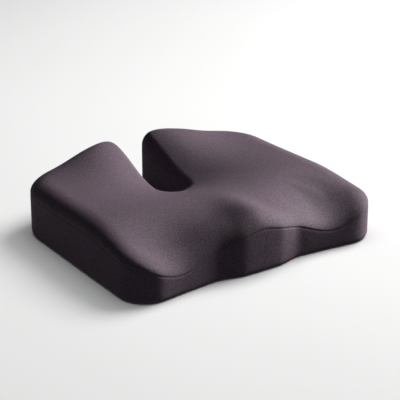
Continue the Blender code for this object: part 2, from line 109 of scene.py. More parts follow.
def round_corner(before: Array, corner: Array, after: Array, radius: float, step: float) -> Array:
    """Arc of a circle that touches both sides of a corner.

    Args:
        before: Corner before this one.
        corner: The corner to round.
        after: Corner after this one.
        radius: Radius of the arc.
        step: Spacing of its points.

    Returns:
        Points from the first tangent point to the last.
    """
    back = unit(before - corner)
    ahead = unit(after - corner)
    half_angle = math.acos(float(np.clip(back @ ahead, -1.0, 1.0))) / 2
    centre = corner + unit(back + ahead) * radius / math.sin(half_angle)
    first = corner + back * radius / math.tan(half_angle) - centre
    last = corner + ahead * radius / math.tan(half_angle) - centre
    turn = math.atan2(first[0] * last[1] - first[1] * last[0], float(first @ last))
    count = max(3, math.ceil(abs(turn) * radius / step))
    angles = math.atan2(first[1], first[0]) + turn * np.linspace(0.0, 1.0, count + 1)
    return centre + radius * np.stack([np.cos(angles), np.sin(angles)], axis=1)


# ---------------------------------------------------------------- the shape of the cushion


@dataclass(frozen=True)
class SeatContour:
    """Height of the cover over the plan: a plain seat with hollows and rises added to it.

    Apart from the fades, every tuple starts with a depth or a rise. Then come, for a groove and
    a lobe, the place across and the spread; for the pommel, the spread; for the ridge, the
    spread across, the place behind the front edge and the spread along; for the dish, the place
    before the rear edge and the spreads across and along. The fades are distances from the front
    and from the rear edge, where a part begins to change and where it is done.
    """

    depth: float = 0.3820
    seat: float = 0.0860
    front_drop: float = 0.0066
    front_fade: tuple[float, float] = (0.0020, 0.1490)
    groove: tuple[float, float, float] = (0.0307, 0.1374, 0.0656)
    pommel: tuple[float, float] = (-0.0070, 0.0300)
    ridge: tuple[float, float, float, float] = (0.0170, 0.0310, 0.0350, 0.0650)
    dish: tuple[float, float, float, float] = (0.0409, 0.1140, 0.1100, 0.0900)
    lobe: tuple[float, float, float] = (0.0319, 0.0584, 0.0758)
    lobe_fade: tuple[float, float] = (0.2110, 0.0310)

    def height(self, x: Array, y: Array) -> Array:
        """Seat + (pommel - drop - grooves) x front + ridge - dish + lobes x rear.

        Args:
            x: Places across, in metres.
            y: Places from front (negative) to rear.

        Returns:
            Heights above the floor.
        """
        front_edge = -self.depth / 2
        rear_edge = self.depth / 2
        side = np.abs(x)
        front = 1.0 - ease(front_edge + self.front_fade[0], front_edge + self.front_fade[1], y)
        rear = ease(rear_edge - self.lobe_fade[0], rear_edge - self.lobe_fade[1], y)
        groove = self.groove[0] * bell(side - self.groove[1], self.groove[2])
        pommel = self.pommel[0] * bell(x, self.pommel[1])
        dish = self.dish[0] * bell(x, self.dish[2]) * bell(y - rear_edge + self.dish[1], self.dish[3])
        lobe = self.lobe[0] * bell(side - self.lobe[1], self.lobe[2])
        ridge = self.ridge[0] * bell(x, self.ridge[1]) * bell(y - front_edge - self.ridge[2], self.ridge[3])
        return self.seat + (pommel - self.front_drop - groove) * front + ridge - dish + lobe * rear


@dataclass
class PlanOutline:
    """Closed plan outline of the cushion, read by a column number.

    Columns run anticlockwise from the left rear corner: outer side, right rear edge, cutout,
    left rear edge. Each of the four sides has its columns evenly along its length. The sides
    meet at the outline's points nearest to `side_inset` in from the outer side at `side_end`,
    and to `mouth_end`. Thigh, groove and pommel are places across and behind the front edge;
    rear_corner is a place before the rear edge and a radius.
    """

    width: float = 0.4510
    depth: float = 0.3820
    rear_taper: float = 0.0110
    rear_corner: tuple[float, float] = (0.0240, 0.0690)
    front_radius: float = 0.0450
    thigh: tuple[float, float] = (0.1365, 0.0115)
    groove: tuple[float, float] = (0.0720, 0.0175)
    pommel: tuple[float, float] = (0.0350, 0.0070)
    wave_radius: float = 0.0450
    cutout_width: float = 0.0410
    cutout_length: float = 0.1520
    cutout_end_radius: float = 0.0195
    mouth_radius: float = 0.0202
    softening: float = 0.0035
    fine_step: float = 0.0004
    long_columns: int = 256
    short_columns: int = 48
    side_inset: float = 0.0300
    side_end: float = 0.1500
    mouth_end: tuple[float, float] = (0.0330, 0.1780)
    _spacing: float = field(init=False, repr=False)
    _points: Array = field(init=False, repr=False)
    _inward: Array = field(init=False, repr=False)
    _length: Array = field(init=False, repr=False)
    _stops: Array = field(init=False, repr=False)

    def __post_init__(self) -> None:
        """Work out the dense outline and where its four sides begin."""
        half = self.width / 2
        front, rear = -self.depth / 2, self.depth / 2
        corners = [
            (self.pommel[0], front + self.pommel[1], self.wave_radius),
            (self.groove[0], front + self.groove[1], self.wave_radius),
            (self.thigh[0], front + self.thigh[1], self.wave_radius),
            (half, front, self.front_radius),
            (half - self.rear_taper, rear - self.rear_corner[0], self.rear_corner[1]),
            (self.cutout_width / 2, rear, self.mouth_radius),
            (self.cutout_width / 2, rear - self.cutout_length, self.cutout_end_radius),
        ]
        corners += [(-x, y, radius) for x, y, radius in reversed(corners)]
        places = [np.array(corner[:2]) for corner in corners]
        befores, afters = places[-1:] + places[:-1], places[1:] + places[:1]
        arcs = [
            round_corner(before, place, after, corner[2], self.fine_step)
            for before, place, after, corner in zip(befores, places, afters, corners)
        ]
        points = self._soften(np.concatenate(arcs))
        points -= (points.max(axis=0) + points.min(axis=0)) / 2
        self._points = points
        ahead = np.roll(points, -1, axis=0) - np.roll(points, 1, axis=0)
        self._inward = unit(np.stack([-ahead[:, 1], ahead[:, 0]], axis=1))
        self._length = np.arange(len(points)) * self._spacing
        side_x = 0.5 * (half + half - self.rear_taper) - self.side_inset
        mouth_x, mouth_y = self.mouth_end
        ends = [(-side_x, self.side_end), (side_x, self.side_end), (mouth_x, mouth_y), (-mouth_x, mouth_y)]
        self._stops = np.array([self._length[self._nearest(np.array(end))] for end in ends])

    def _soften(self, points: Array) -> Array:
        """Even out the spacing and blur the outline, so that its curvature has no jumps.

        The blur is a Gaussian of `softening` metres, applied through the Fourier transform.
        """
        closed = np.vstack([points, points[:1]])
        along = np.concatenate([[0.0], np.cumsum(np.linalg.norm(np.diff(closed, axis=0), axis=1))])
        keep = np.concatenate([[True], np.diff(along) > 1e-9])
        count = int(along[-1] / self.fine_step)
        wanted = np.linspace(0.0, along[-1], count, endpoint=False)
        even = np.stack([np.interp(wanted, along[keep], closed[keep, axis]) for axis in (0, 1)], axis=1)
        self._spacing = float(along[-1] / count)
        waves = np.fft.fftfreq(count, d=self._spacing)
        blur = np.exp(-2.0 * (math.pi * waves * self.softening) ** 2)
        return np.real(np.fft.ifft(np.fft.fft(even, axis=0) * blur[:, None], axis=0))

    def _nearest(self, place: Array) -> int:
        """Index of the dense point nearest to a place."""
        return int(np.argmin(np.linalg.norm(self._points - place, axis=1)))

    @property
    def columns(self) -> int:
        """Number of whole columns round the outline."""
        return 2 * (self.long_columns + self.short_columns)

    @property
    def girth(self) -> float:
        """Length of the outline."""
        return len(self._points) * self._spacing

    def _side_table(self) -> tuple[Array, Array]:
        """Column numbers and lengths where the four sides meet, once round."""
        counts = [0, self.long_columns, self.short_columns, self.long_columns, self.short_columns]
        lengths = np.append(self._stops, self._stops[0])
        for index in range(1, len(lengths)):
            while lengths[index] <= lengths[index - 1]:
                lengths[index] += self.girth
        return np.cumsum(counts).astype(float), lengths

    def length_at(self, column: Array) -> Array:
        """Length along the outline at each column number."""
        numbers, lengths = self._side_table()
        turns = np.floor(column / self.columns)
        return np.interp(column - turns * self.columns, numbers, lengths) + turns * self.girth

    def column_at(self, place: Sequence[float]) -> float:
        """Column number of the outline's point nearest to a place."""
        numbers, lengths = self._side_table()
        length = self._length[self._nearest(np.array(place[:2]))]
        while length < lengths[0]:
            length += self.girth
        return float(np.interp(length, lengths, numbers))

    def columns_of(self, lengths: Array) -> Array:
        """Column numbers at lengths along the outline."""
        numbers, table = self._side_table()
        turns = np.floor((lengths - table[0]) / self.girth)
        return np.interp(lengths - turns * self.girth, table, numbers) + turns * self.columns

    def box(self) -> tuple[Array, Array]:
        """Lowest and highest corner of the outline."""
        return self._points.min(axis=0), self._points.max(axis=0)

    def holds(self, places: Array, margin: float) -> Array:
        """Whether each place lies inside the outline, at least a margin from it.

        The nearest outline point decides: a place is inside when it lies on its inward side.
        """
        points, inward = self._points[::6], self._inward[::6]
        away = places[:, None] - points[None]
        nearest = np.argmin((away ** 2).sum(axis=-1), axis=1)
        rows = np.arange(len(places))
        return (away[rows, nearest] * inward[nearest]).sum(axis=1) > margin

    def read(self, column: Array) -> tuple[Array, Array]:
        """Plan points and unit steps inward at each column number."""
        place = self.length_at(column) / self._spacing
        low = np.floor(place).astype(int)
        share = (place - low)[..., None]
        low %= len(self._points)
        high = (low + 1) % len(self._points)
        points = self._points[low] * (1 - share) + self._points[high] * share
        inward = self._inward[low] * (1 - share) + self._inward[high] * share
        return points, unit(inward)


@dataclass
class Cushion:
    """Plan, contour and section of the cushion, and the layers that follow them.

    The section of every column is read by a station: 0 to 1 round the foot, from the
    underside to the wall; 1 to 2 up the wall to the seam; 2 to 3 over the rolled edge.
    """

    plan: PlanOutline = field(default_factory=PlanOutline)
    contour: SeatContour = field(default_factory=SeatContour)
    roll_radius: float = 0.0328
    cutout_roll: float = 0.0180
    roll_blend: tuple[float, float] = (0.0429, 0.0899)
    roll_drop: float = 0.0185
    foot_radius: float = 0.0080
    relief: Array | None = None
    relief_stations: Array | None = None
    patch_relief: Array | None = None

    def roll_reach(self, points: Array) -> Array:
        """How far in the rolled edge reaches from places on the outline, less along the cutout."""
        cutout = (1.0 - ease(*self.roll_blend, np.abs(points[..., 0]))) * (points[..., 1] > 0.0)
        return self.roll_radius - (self.roll_radius - self.cutout_roll) * cutout

    def seam_height(self, column: Array) -> Array:
        """Height of the seam line at each column."""
        points, _ = self.plan.read(column)
        return self.contour.height(points[..., 0], points[..., 1]) - self.roll_drop

    def section(self, column: Array, station: Array, depth: float = 0.0) -> Array:
        """Points of a layer.

        Foot: quarter circle about a centre one radius up and in. Wall: straight up. Roll: quarter
        of an ellipse, roll_reach in and roll_drop high, riding on the seat's contour.

        Args:
            column: Column numbers.
            station: Stations, of the same shape as column.
            depth: How far the layer lies under the cover's face.

        Returns:
            Points, with a last axis of three.
        """
        points, inward = self.plan.read(column)
        foot = np.clip(station, 0.0, 1.0) * math.pi / 2
        wall = np.clip(station - 1.0, 0.0, 1.0)
        roll = np.clip(station - 2.0, 0.0, 1.0) * math.pi / 2
        inset = depth + (self.foot_radius - depth) * (1.0 - np.sin(foot))
        inset = inset + (self.roll_reach(points) - depth) * (1.0 - np.cos(roll))
        place = points + inward * inset[..., None]
        seam = self.contour.height(place[..., 0], place[..., 1]) - self.roll_drop
        low = depth + (self.foot_radius - depth) * (1.0 - np.cos(foot))
        height = low + (seam - self.foot_radius) * wall + (self.roll_drop - depth) * np.sin(roll)
        return np.concatenate([place, height[..., None]], axis=-1)

    def skin(self, column: Array, station: Array, depth: float = 0.0) -> Array:
        """Points of a layer with the relaxed cover's relief added."""
        points = self.section(column, station, depth)
        if self.relief is None:
            return points
        return points + self._read_relief(column, station)

    def _read_relief(self, column: Array, station: Array) -> Array:
        """Relief at any column and station, mixed from the four nearest grid values."""
        grid = self.relief
        place = column * grid.shape[1] / self.plan.columns
        left = np.floor(place).astype(int)
        across = (place - left)[..., None]
        left %= grid.shape[1]
        right = (left + 1) % grid.shape[1]
        rows = self.relief_stations
        below = np.clip(np.searchsorted(rows, station, side="right") - 1, 0, len(rows) - 2)
        span = rows[below + 1] - rows[below]
        up = np.clip((station - rows[below]) / span, 0.0, 1.0)[..., None]
        low = grid[below, left] * (1 - across) + grid[below, right] * across
        high = grid[below + 1, left] * (1 - across) + grid[below + 1, right] * across
        return low * (1 - up) + high * up

    def wall_station(self, column: Array, height: Array) -> Array:
        """Station on the wall that lies at a height above the floor."""
        seam = self.seam_height(column)
        return 1.0 + (height - self.foot_radius) / (seam - self.foot_radius)

    def patch(self, depth: float, long_count: int, short_count: int,
              flat: float | None = None, rim: float = 0.0) -> Array:
        """Points that fill the plan inside a ring, as a Coons patch over its four sides.

        The patch is the sum of the two mixes of opposite sides, less the mix of its corners.

        Args:
            depth: How far the layer lies under the face.
            long_count: Steps along the outer side and the cutout.
            short_count: Steps along the rear edges.
            flat: Height of a flat patch on the underside; None follows the seat instead.
            rim: How far in from the outline a flat patch ends.

        Returns:
            Points on a grid of long_count + 1 by short_count + 1.
        """
        plan = self.plan
        starts = np.cumsum([0, plan.long_columns, plan.short_columns, plan.long_columns])
        sides = []
        for start, whole, count in zip(starts, (plan.long_columns, plan.short_columns) * 2,
                                       (long_count, short_count) * 2):
            points, inward = plan.read(start + np.linspace(0.0, whole, count + 1))
            inset = self.roll_reach(points) if flat is None else np.full(count + 1, rim)
            sides.append(points + inward * inset[:, None])
        outer, right, cutout, left = sides[0], sides[1], sides[2][::-1], sides[3][::-1]
        u = np.linspace(0.0, 1.0, long_count + 1)[:, None, None]
        v = np.linspace(0.0, 1.0, short_count + 1)[None, :, None]
        mixed = (1 - v) * outer[:, None] + v * cutout[:, None] + (1 - u) * left[None] + u * right[None]
        mixed = mixed - (1 - u) * ((1 - v) * outer[0] + v * cutout[0])
        mixed = mixed - u * ((1 - v) * outer[-1] + v * cutout[-1])
        if flat is not None:
            return np.concatenate([mixed, np.full(mixed.shape[:2] + (1,), flat)], axis=-1)
        height = self.contour.height(mixed[..., 0], mixed[..., 1]) - depth
        return np.concatenate([mixed, height[..., None]], axis=-1)

    def seat(self, depth: float, long_count: int, short_count: int) -> Array:
        """The seat's patch with the relaxed cover's relief added, read evenly between its points."""
        points = self.patch(depth, long_count, short_count)
        if self.patch_relief is None:
            return points
        grid = self.patch_relief
        for axis, count in ((0, long_count), (1, short_count)):
            place = np.linspace(0.0, grid.shape[axis] - 1, count + 1)
            low = np.minimum(place.astype(int), grid.shape[axis] - 2)
            share = np.expand_dims(place - low, (1, 2) if axis == 0 else (0, 2))
            grid = np.take(grid, low, axis) * (1 - share) + np.take(grid, low + 1, axis) * share
        return points + grid


# ---------------------------------------------------------------- meshes from grids


def grid_quads(index: Array, closed: bool) -> Array:
    """Quads of a grid of point numbers, rows from low to high and columns anticlockwise.

    Args:
        index: Point numbers, rows by columns.
        closed: Whether the last column joins the first.

    Returns:
        Quads whose faces point outwards, four point numbers each.
    """
    ahead = np.roll(index, -1, axis=1)
    if not closed:
        index, ahead = index[:, :-1], ahead[:, :-1]
    return np.stack([index[:-1], ahead[:-1], ahead[1:], index[1:]], axis=-1).reshape(-1, 4)


def patch_index(ring: Array, first_free: int, long_count: int, short_count: int) -> Array:
    """Point numbers of a Coons patch whose edge is a ring that exists already.

    Args:
        ring: Point numbers of the ring, from the left rear corner, anticlockwise.
        first_free: Number of the first point inside the patch.
        long_count: Steps along the outer side and the cutout.
        short_count: Steps along the rear edges.

    Returns:
        Point numbers, long_count + 1 by short_count + 1.
    """
    index = np.empty((long_count + 1, short_count + 1), int)
    inside = (long_count - 1) * (short_count - 1)
    index[1:-1, 1:-1] = first_free + np.arange(inside).reshape(long_count - 1, short_count - 1)
    closed = np.append(ring, ring[0])
    index[:, 0] = closed[: long_count + 1]
    index[-1, :] = closed[long_count: long_count + short_count + 1]
    index[::-1, -1] = closed[long_count + short_count: 2 * long_count + short_count + 1]
    index[0, ::-1] = closed[2 * long_count + short_count:]
    return index


def patch_quads(index: Array) -> Array:
    """Quads of a patch, facing up."""
    return np.stack([index[:-1, :-1], index[1:, :-1], index[1:, 1:], index[:-1, 1:]], axis=-1).reshape(-1, 4)


def thicken(outer: Array, inner: Array, quads: Array) -> tuple[Array, Array]:
    """Close two matching sheets into one solid, with a rim along every open edge.

    Args:
        outer: Points of the outer sheet.
        inner: Points of the inner sheet, in the same order.
        quads: Quads of the outer sheet.

    Returns:
        All points, and all quads facing out.
    """
    count = len(outer)
    edges = np.stack([quads, np.roll(quads, -1, axis=1)], axis=-1).reshape(-1, 2)
    low = np.minimum(edges[:, 0], edges[:, 1]).astype(np.int64)
    high = np.maximum(edges[:, 0], edges[:, 1]).astype(np.int64)
    _, first, uses = np.unique(low * count + high, return_index=True, return_counts=True)
    rim = edges[first[uses == 1]]
    walls = np.stack([rim[:, 1], rim[:, 0], rim[:, 0] + count, rim[:, 1] + count], axis=1)
    return np.concatenate([outer, inner]), np.concatenate([quads, quads[:, ::-1] + count, walls])


def make_mesh(name: str, points: Array, faces: Array, cloth: Array | None = None) -> bpy.types.Object:
    """Make an object from points and quads or triangles, shaded smooth.

    Args:
        name: Name of the piece.
        points: Its points, in metres.
        faces: Its faces, three or four point numbers each.
        cloth: Flat cloth coordinates of each point, in metres, kept as its UV map.

    Returns:
        The object, linked to the scene.
    """
    mesh = bpy.data.meshes.new(name)
    corners = faces.shape[1]
    mesh.vertices.add(len(points))
    mesh.vertices.foreach_set("co", np.ascontiguousarray(points, np.float32).ravel())
    mesh.loops.add(faces.size)
    mesh.loops.foreach_set("vertex_index", np.ascontiguousarray(faces, np.int32).ravel())
    mesh.polygons.add(len(faces))
    mesh.polygons.foreach_set("loop_start", np.arange(0, faces.size, corners, dtype=np.int32))
    mesh.update(calc_edges=True)
    mesh.validate()
    if cloth is not None:
        layer = mesh.uv_layers.new(name="cloth")
        layer.data.foreach_set("uv", np.ascontiguousarray(cloth[faces.ravel()], np.float32).ravel())
    mesh.polygons.foreach_set("use_smooth", np.ones(len(mesh.polygons), bool))
    mesh.set_sharp_from_angle(angle=SHARP_ANGLE)
    item = bpy.data.objects.new(name, mesh)
    bpy.context.scene.collection.objects.link(item)
    return item


# ---------------------------------------------------------------- names the frame knows


class Body(Enum):
    """Bodies that pieces ride on."""

    CUSHION = "cushion"
    SLIDER = "slider"
    PULL = "pull"


class Slot(Enum):
    """Material slots of the record."""

    COVER = "cover_knit"
    GRIP = "grip_fabric"
    LINER = "liner"
    FOAM = "foam"
    TAPE = "zip_tape"
    COIL = "zip_nylon"
    METAL = "zip_metal"
    LABEL = "label_satin"


class Side(Enum):
    """The two halves of the zip, as the sign of their height from its middle."""

    UPPER = 1.0
    LOWER = -1.0


def settle(piece: bpy.types.Object, body: Body, slot: Slot, finish: bpy.types.Material, *nodes: str) -> None:
    """Give a piece its material, its body and the CAD nodes that it stands for.

    Args:
        piece: The piece, in place.
        body: Body that it rides on.
        slot: Slot of the record that its finish comes from; not used.
        finish: Its material.
        nodes: CAD nodes that it replaces.
    """
    piece.data.materials.append(finish)
    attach(piece, body.value)
    if nodes:
        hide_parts(*nodes)
    LOG.info("%s: %d faces, rides on %s", piece.name, len(piece.data.polygons), body.value)


# ---------------------------------------------------------------- finishes


def colour(code: str) -> tuple[float, float, float, float]:
    """Linear colour of an sRGB hex code, with full alpha."""
    parts = [int(code[place:place + 2], 16) / 255.0 for place in (1, 3, 5)]
    linear = [part / 12.92 if part <= 0.04045 else ((part + 0.055) / 1.055) ** 2.4 for part in parts]
    return (*linear, 1.0)


class Recipe:
    """One material while it is made, with short calls for the nodes that the finishes share."""

    def __init__(self, name: str) -> None:
        """Start a material.

        Args:
            name: Common name of the real material.
        """
        self.material = bpy.data.materials.new(name)
        self.material.use_nodes = True
        self.tree = self.material.node_tree
        self.shader = self.tree.nodes["Principled BSDF"]

    def add(self, kind: str, inputs: dict | None = None, **settings: str) -> bpy.types.Node:
        """Add a node with its settings, values and links.

        Args:
            kind: Blender's name of the node's type.
            inputs: Values or output sockets for its inputs, by name or number.
            settings: Attributes of the node.

        Returns:
            The node.
        """
        made = self.tree.nodes.new(kind)
        for name, value in settings.items():
            setattr(made, name, value)
        for name, value in (inputs or {}).items():
            if isinstance(value, bpy.types.NodeSocket):
                self.tree.links.new(value, made.inputs[name])
            else:
                made.inputs[name].default_value = value
        return made

    def math(self, operation: str, *values: bpy.types.NodeSocket | float) -> bpy.types.NodeSocket:
        """Result of one step of arithmetic on sockets or numbers."""
        return self.add("ShaderNodeMath", dict(enumerate(values)), operation=operation).outputs[0]

    def remap(self, value: bpy.types.NodeSocket, **ends: float) -> bpy.types.NodeSocket:
        """A value moved from one range, 0 to 1 if none is given, to another."""
        limits = {name.replace("_", " ").title(): end for name, end in ends.items()}
        return self.add("ShaderNodeMapRange", {"Value": value, **limits}).outputs[0]

    def cloth(self) -> tuple[bpy.types.NodeSocket, bpy.types.NodeSocket]:
        """The two coordinates of the cloth map, in metres."""
        place = self.add("ShaderNodeUVMap", uv_map="cloth").outputs["UV"]
        parts = self.add("ShaderNodeSeparateXYZ", {0: place}).outputs
        return parts[0], parts[1]

    def noise(self, size: float, detail: float,
              stretch: Sequence[float] | None = None) -> bpy.types.NodeSocket:
        """Noise from 0 to 1 in the object's own axes.

        Args:
            size: Size of its grains, in metres.
            detail: Octaves of finer noise.
            stretch: Factors on the three axes; a small one makes streaks along its axis.

        Returns:
            The noise.
        """
        place = self.add("ShaderNodeTexCoord").outputs["Object"]
        if stretch is not None:
            place = self.add("ShaderNodeMapping", {"Vector": place, "Scale": stretch}).outputs[0]
        inputs = {"Vector": place, "Scale": 1.0 / size, "Detail": detail}
        return self.add("ShaderNodeTexNoise", inputs).outputs["Fac"]

    def tint(self, share: bpy.types.NodeSocket, low: str, high: str) -> None:
        """Colour the surface by a ramp between two hex colours, read by a share from 0 to 1."""
        ramp = self.add("ShaderNodeValToRGB", {"Fac": share})
        ramp.color_ramp.elements[0].color = colour(low)
        ramp.color_ramp.elements[1].color = colour(high)
        self.tree.links.new(ramp.outputs["Color"], self.shader.inputs["Base Color"])

    def bump(self, height: bpy.types.NodeSocket, strength: float, depth: float) -> None:
        """Give the surface a relief of some depth in metres, for a height of one."""
        made = self.add("ShaderNodeBump", {"Height": height, "Strength": strength, "Distance": depth})
        self.tree.links.new(made.outputs["Normal"], self.shader.inputs["Normal"])

    def roughen(self, noise: bpy.types.NodeSocket, low: float, high: float) -> None:
        """Let the roughness follow a noise, from low at 0 to high at 1."""
        rough = self.remap(noise, to_min=low, to_max=high)
        self.tree.links.new(rough, self.shader.inputs["Roughness"])


@dataclass(frozen=True)
class KnitFabric:
    """Fine circular-knit polyester cloth, dyed in the yarn.

    Matt, with flecks from the yarn and V-shaped loops. `sheen` is for furrier cloths, whose
    filaments catch light at a low angle. The loops are under a millimetre on the real cloth and
    are drawn coarser, so that they still show from across a desk.
    """

    name: str
    dark: str
    light: str
    wale: float = 1.7 * MM
    course: float = 2.2 * MM
    fleck: float = 2.4 * MM
    cloud: float = 70.0 * MM
    fleck_range: tuple[float, float] = (0.33, 0.69)
    cloud_share: float = 0.30
    loop_share: float = 0.06
    relief: float = 0.30 * MM
    roughness: float = 0.72
    sheen: float = 0.0
    sheen_tint: str = "#c9b4c4"

    def make(self) -> bpy.types.Material:
        """Make the material: loops slanted both ways from the cloth map, flecks, broad clouds."""
        recipe = Recipe(self.name)
        across, along = recipe.cloth()
        slant = recipe.math("PINGPONG", recipe.math("DIVIDE", across, self.wale), 0.5)
        phase = recipe.math("ADD", recipe.math("DIVIDE", along, self.course), slant)
        loops = recipe.math("SINE", recipe.math("MULTIPLY", phase, math.tau))
        rib = recipe.math("MULTIPLY_ADD", slant, 3.0, loops)
        fleck = recipe.noise(self.fleck, 3.0)
        cloud = recipe.noise(self.cloud, 2.0)
        spread = recipe.remap(fleck, from_min=self.fleck_range[0], from_max=self.fleck_range[1])
        tone = recipe.math("MULTIPLY_ADD", cloud, self.cloud_share, spread)
        recipe.tint(recipe.math("MULTIPLY_ADD", loops, self.loop_share, tone), self.dark, self.light)
        recipe.bump(recipe.math("MULTIPLY_ADD", fleck, 2.0, rib), 0.6, self.relief)
        shader = recipe.shader
        shader.inputs["Roughness"].default_value = self.roughness
        shader.inputs["Specular IOR Level"].default_value = 0.20
        shader.inputs["Sheen Weight"].default_value = self.sheen
        shader.inputs["Sheen Roughness"].default_value = 0.45
        shader.inputs["Sheen Tint"].default_value = colour(self.sheen_tint)
        return recipe.material


@dataclass(frozen=True)
class WovenTape:
    """Herringbone woven polyester: two directions of twill that meet in narrow stripes."""

    name: str
    dark: str
    light: str
    thread: float = 0.9 * MM
    stripe: float = 2.4 * MM
    roughness: float = 0.75
    relief: float = 0.1 * MM

    def make(self) -> bpy.types.Material:
        """Make the material: diagonal ribs whose slope turns over at every stripe."""
        recipe = Recipe(self.name)
        along, across = recipe.cloth()
        run = recipe.math("ADD", along, recipe.math("PINGPONG", across, self.stripe))
        rib = recipe.math("SINE", recipe.math("MULTIPLY", run, math.tau / self.thread))
        share = recipe.remap(rib, from_min=-1.0, from_max=1.0)
        recipe.tint(share, self.dark, self.light)
        recipe.bump(share, 0.5, self.relief)
        recipe.shader.inputs["Roughness"].default_value = self.roughness
        recipe.shader.inputs["Sheen Weight"].default_value = 0.15
        return recipe.material


@dataclass(frozen=True)
class MouldedPolymer:
    """Polymer with a faint grain: spun thread, drawn nylon, printed silicone or foam."""

    name: str
    dark: str
    light: str
    grain: float
    depth: float
    roughness: float
    ior: float = 1.50
    roughness_spread: float = 0.08

    def make(self) -> bpy.types.Material:
        """Make the material: cellular grain in colour, roughness and relief."""
        recipe = Recipe(self.name)
        grain = recipe.noise(self.grain, 4.0)
        recipe.tint(grain, self.dark, self.light)
        recipe.roughen(grain, self.roughness - self.roughness_spread, self.roughness + self.roughness_spread)
        recipe.bump(grain, 0.5, self.depth)
        recipe.shader.inputs["IOR"].default_value = self.ior
        return recipe.material


@dataclass(frozen=True)
class PlatedZinc:
    """Die-cast zinc with a dark nickel plating, tumbled: satin, with fine rubbed scratches."""

    name: str = "die-cast zinc, dark nickel plated"
    dark: str = "#3d3b40"
    light: str = "#5c5a60"
    scratch: float = 0.5 * MM
    stretch: tuple[float, float, float] = (1.0, 0.12, 1.0)
    depth: float = 0.05 * MM
    roughness: tuple[float, float] = (0.24, 0.48)

    def make(self) -> bpy.types.Material:
        """Make the material: streaks along the zip over a tumbled, slightly uneven surface."""
        recipe = Recipe(self.name)
        streak = recipe.noise(self.scratch, 3.0, self.stretch)
        recipe.tint(streak, self.dark, self.light)
        recipe.roughen(streak, *self.roughness)
        recipe.bump(streak, 0.2, self.depth)
        recipe.shader.inputs["Metallic"].default_value = 1.0
        return recipe.material


@dataclass(frozen=True)
class StudioPaper:
    """Seamless pale backdrop paper, with a broad unevenness too faint to draw the eye."""

    name: str = "backdrop paper"
    dark: str = "#e9eaec"
    light: str = "#eeeff1"
    cloud: float = 0.5

    def make(self) -> bpy.types.Material:
        """Make the material."""
        recipe = Recipe(self.name)
        recipe.tint(recipe.noise(self.cloud, 1.0), self.dark, self.light)
        recipe.shader.inputs["Roughness"].default_value = 0.95
        recipe.shader.inputs["Specular IOR Level"].default_value = 0.1
        return recipe.material


# ---------------------------------------------------------------- the cover, relaxed as cloth


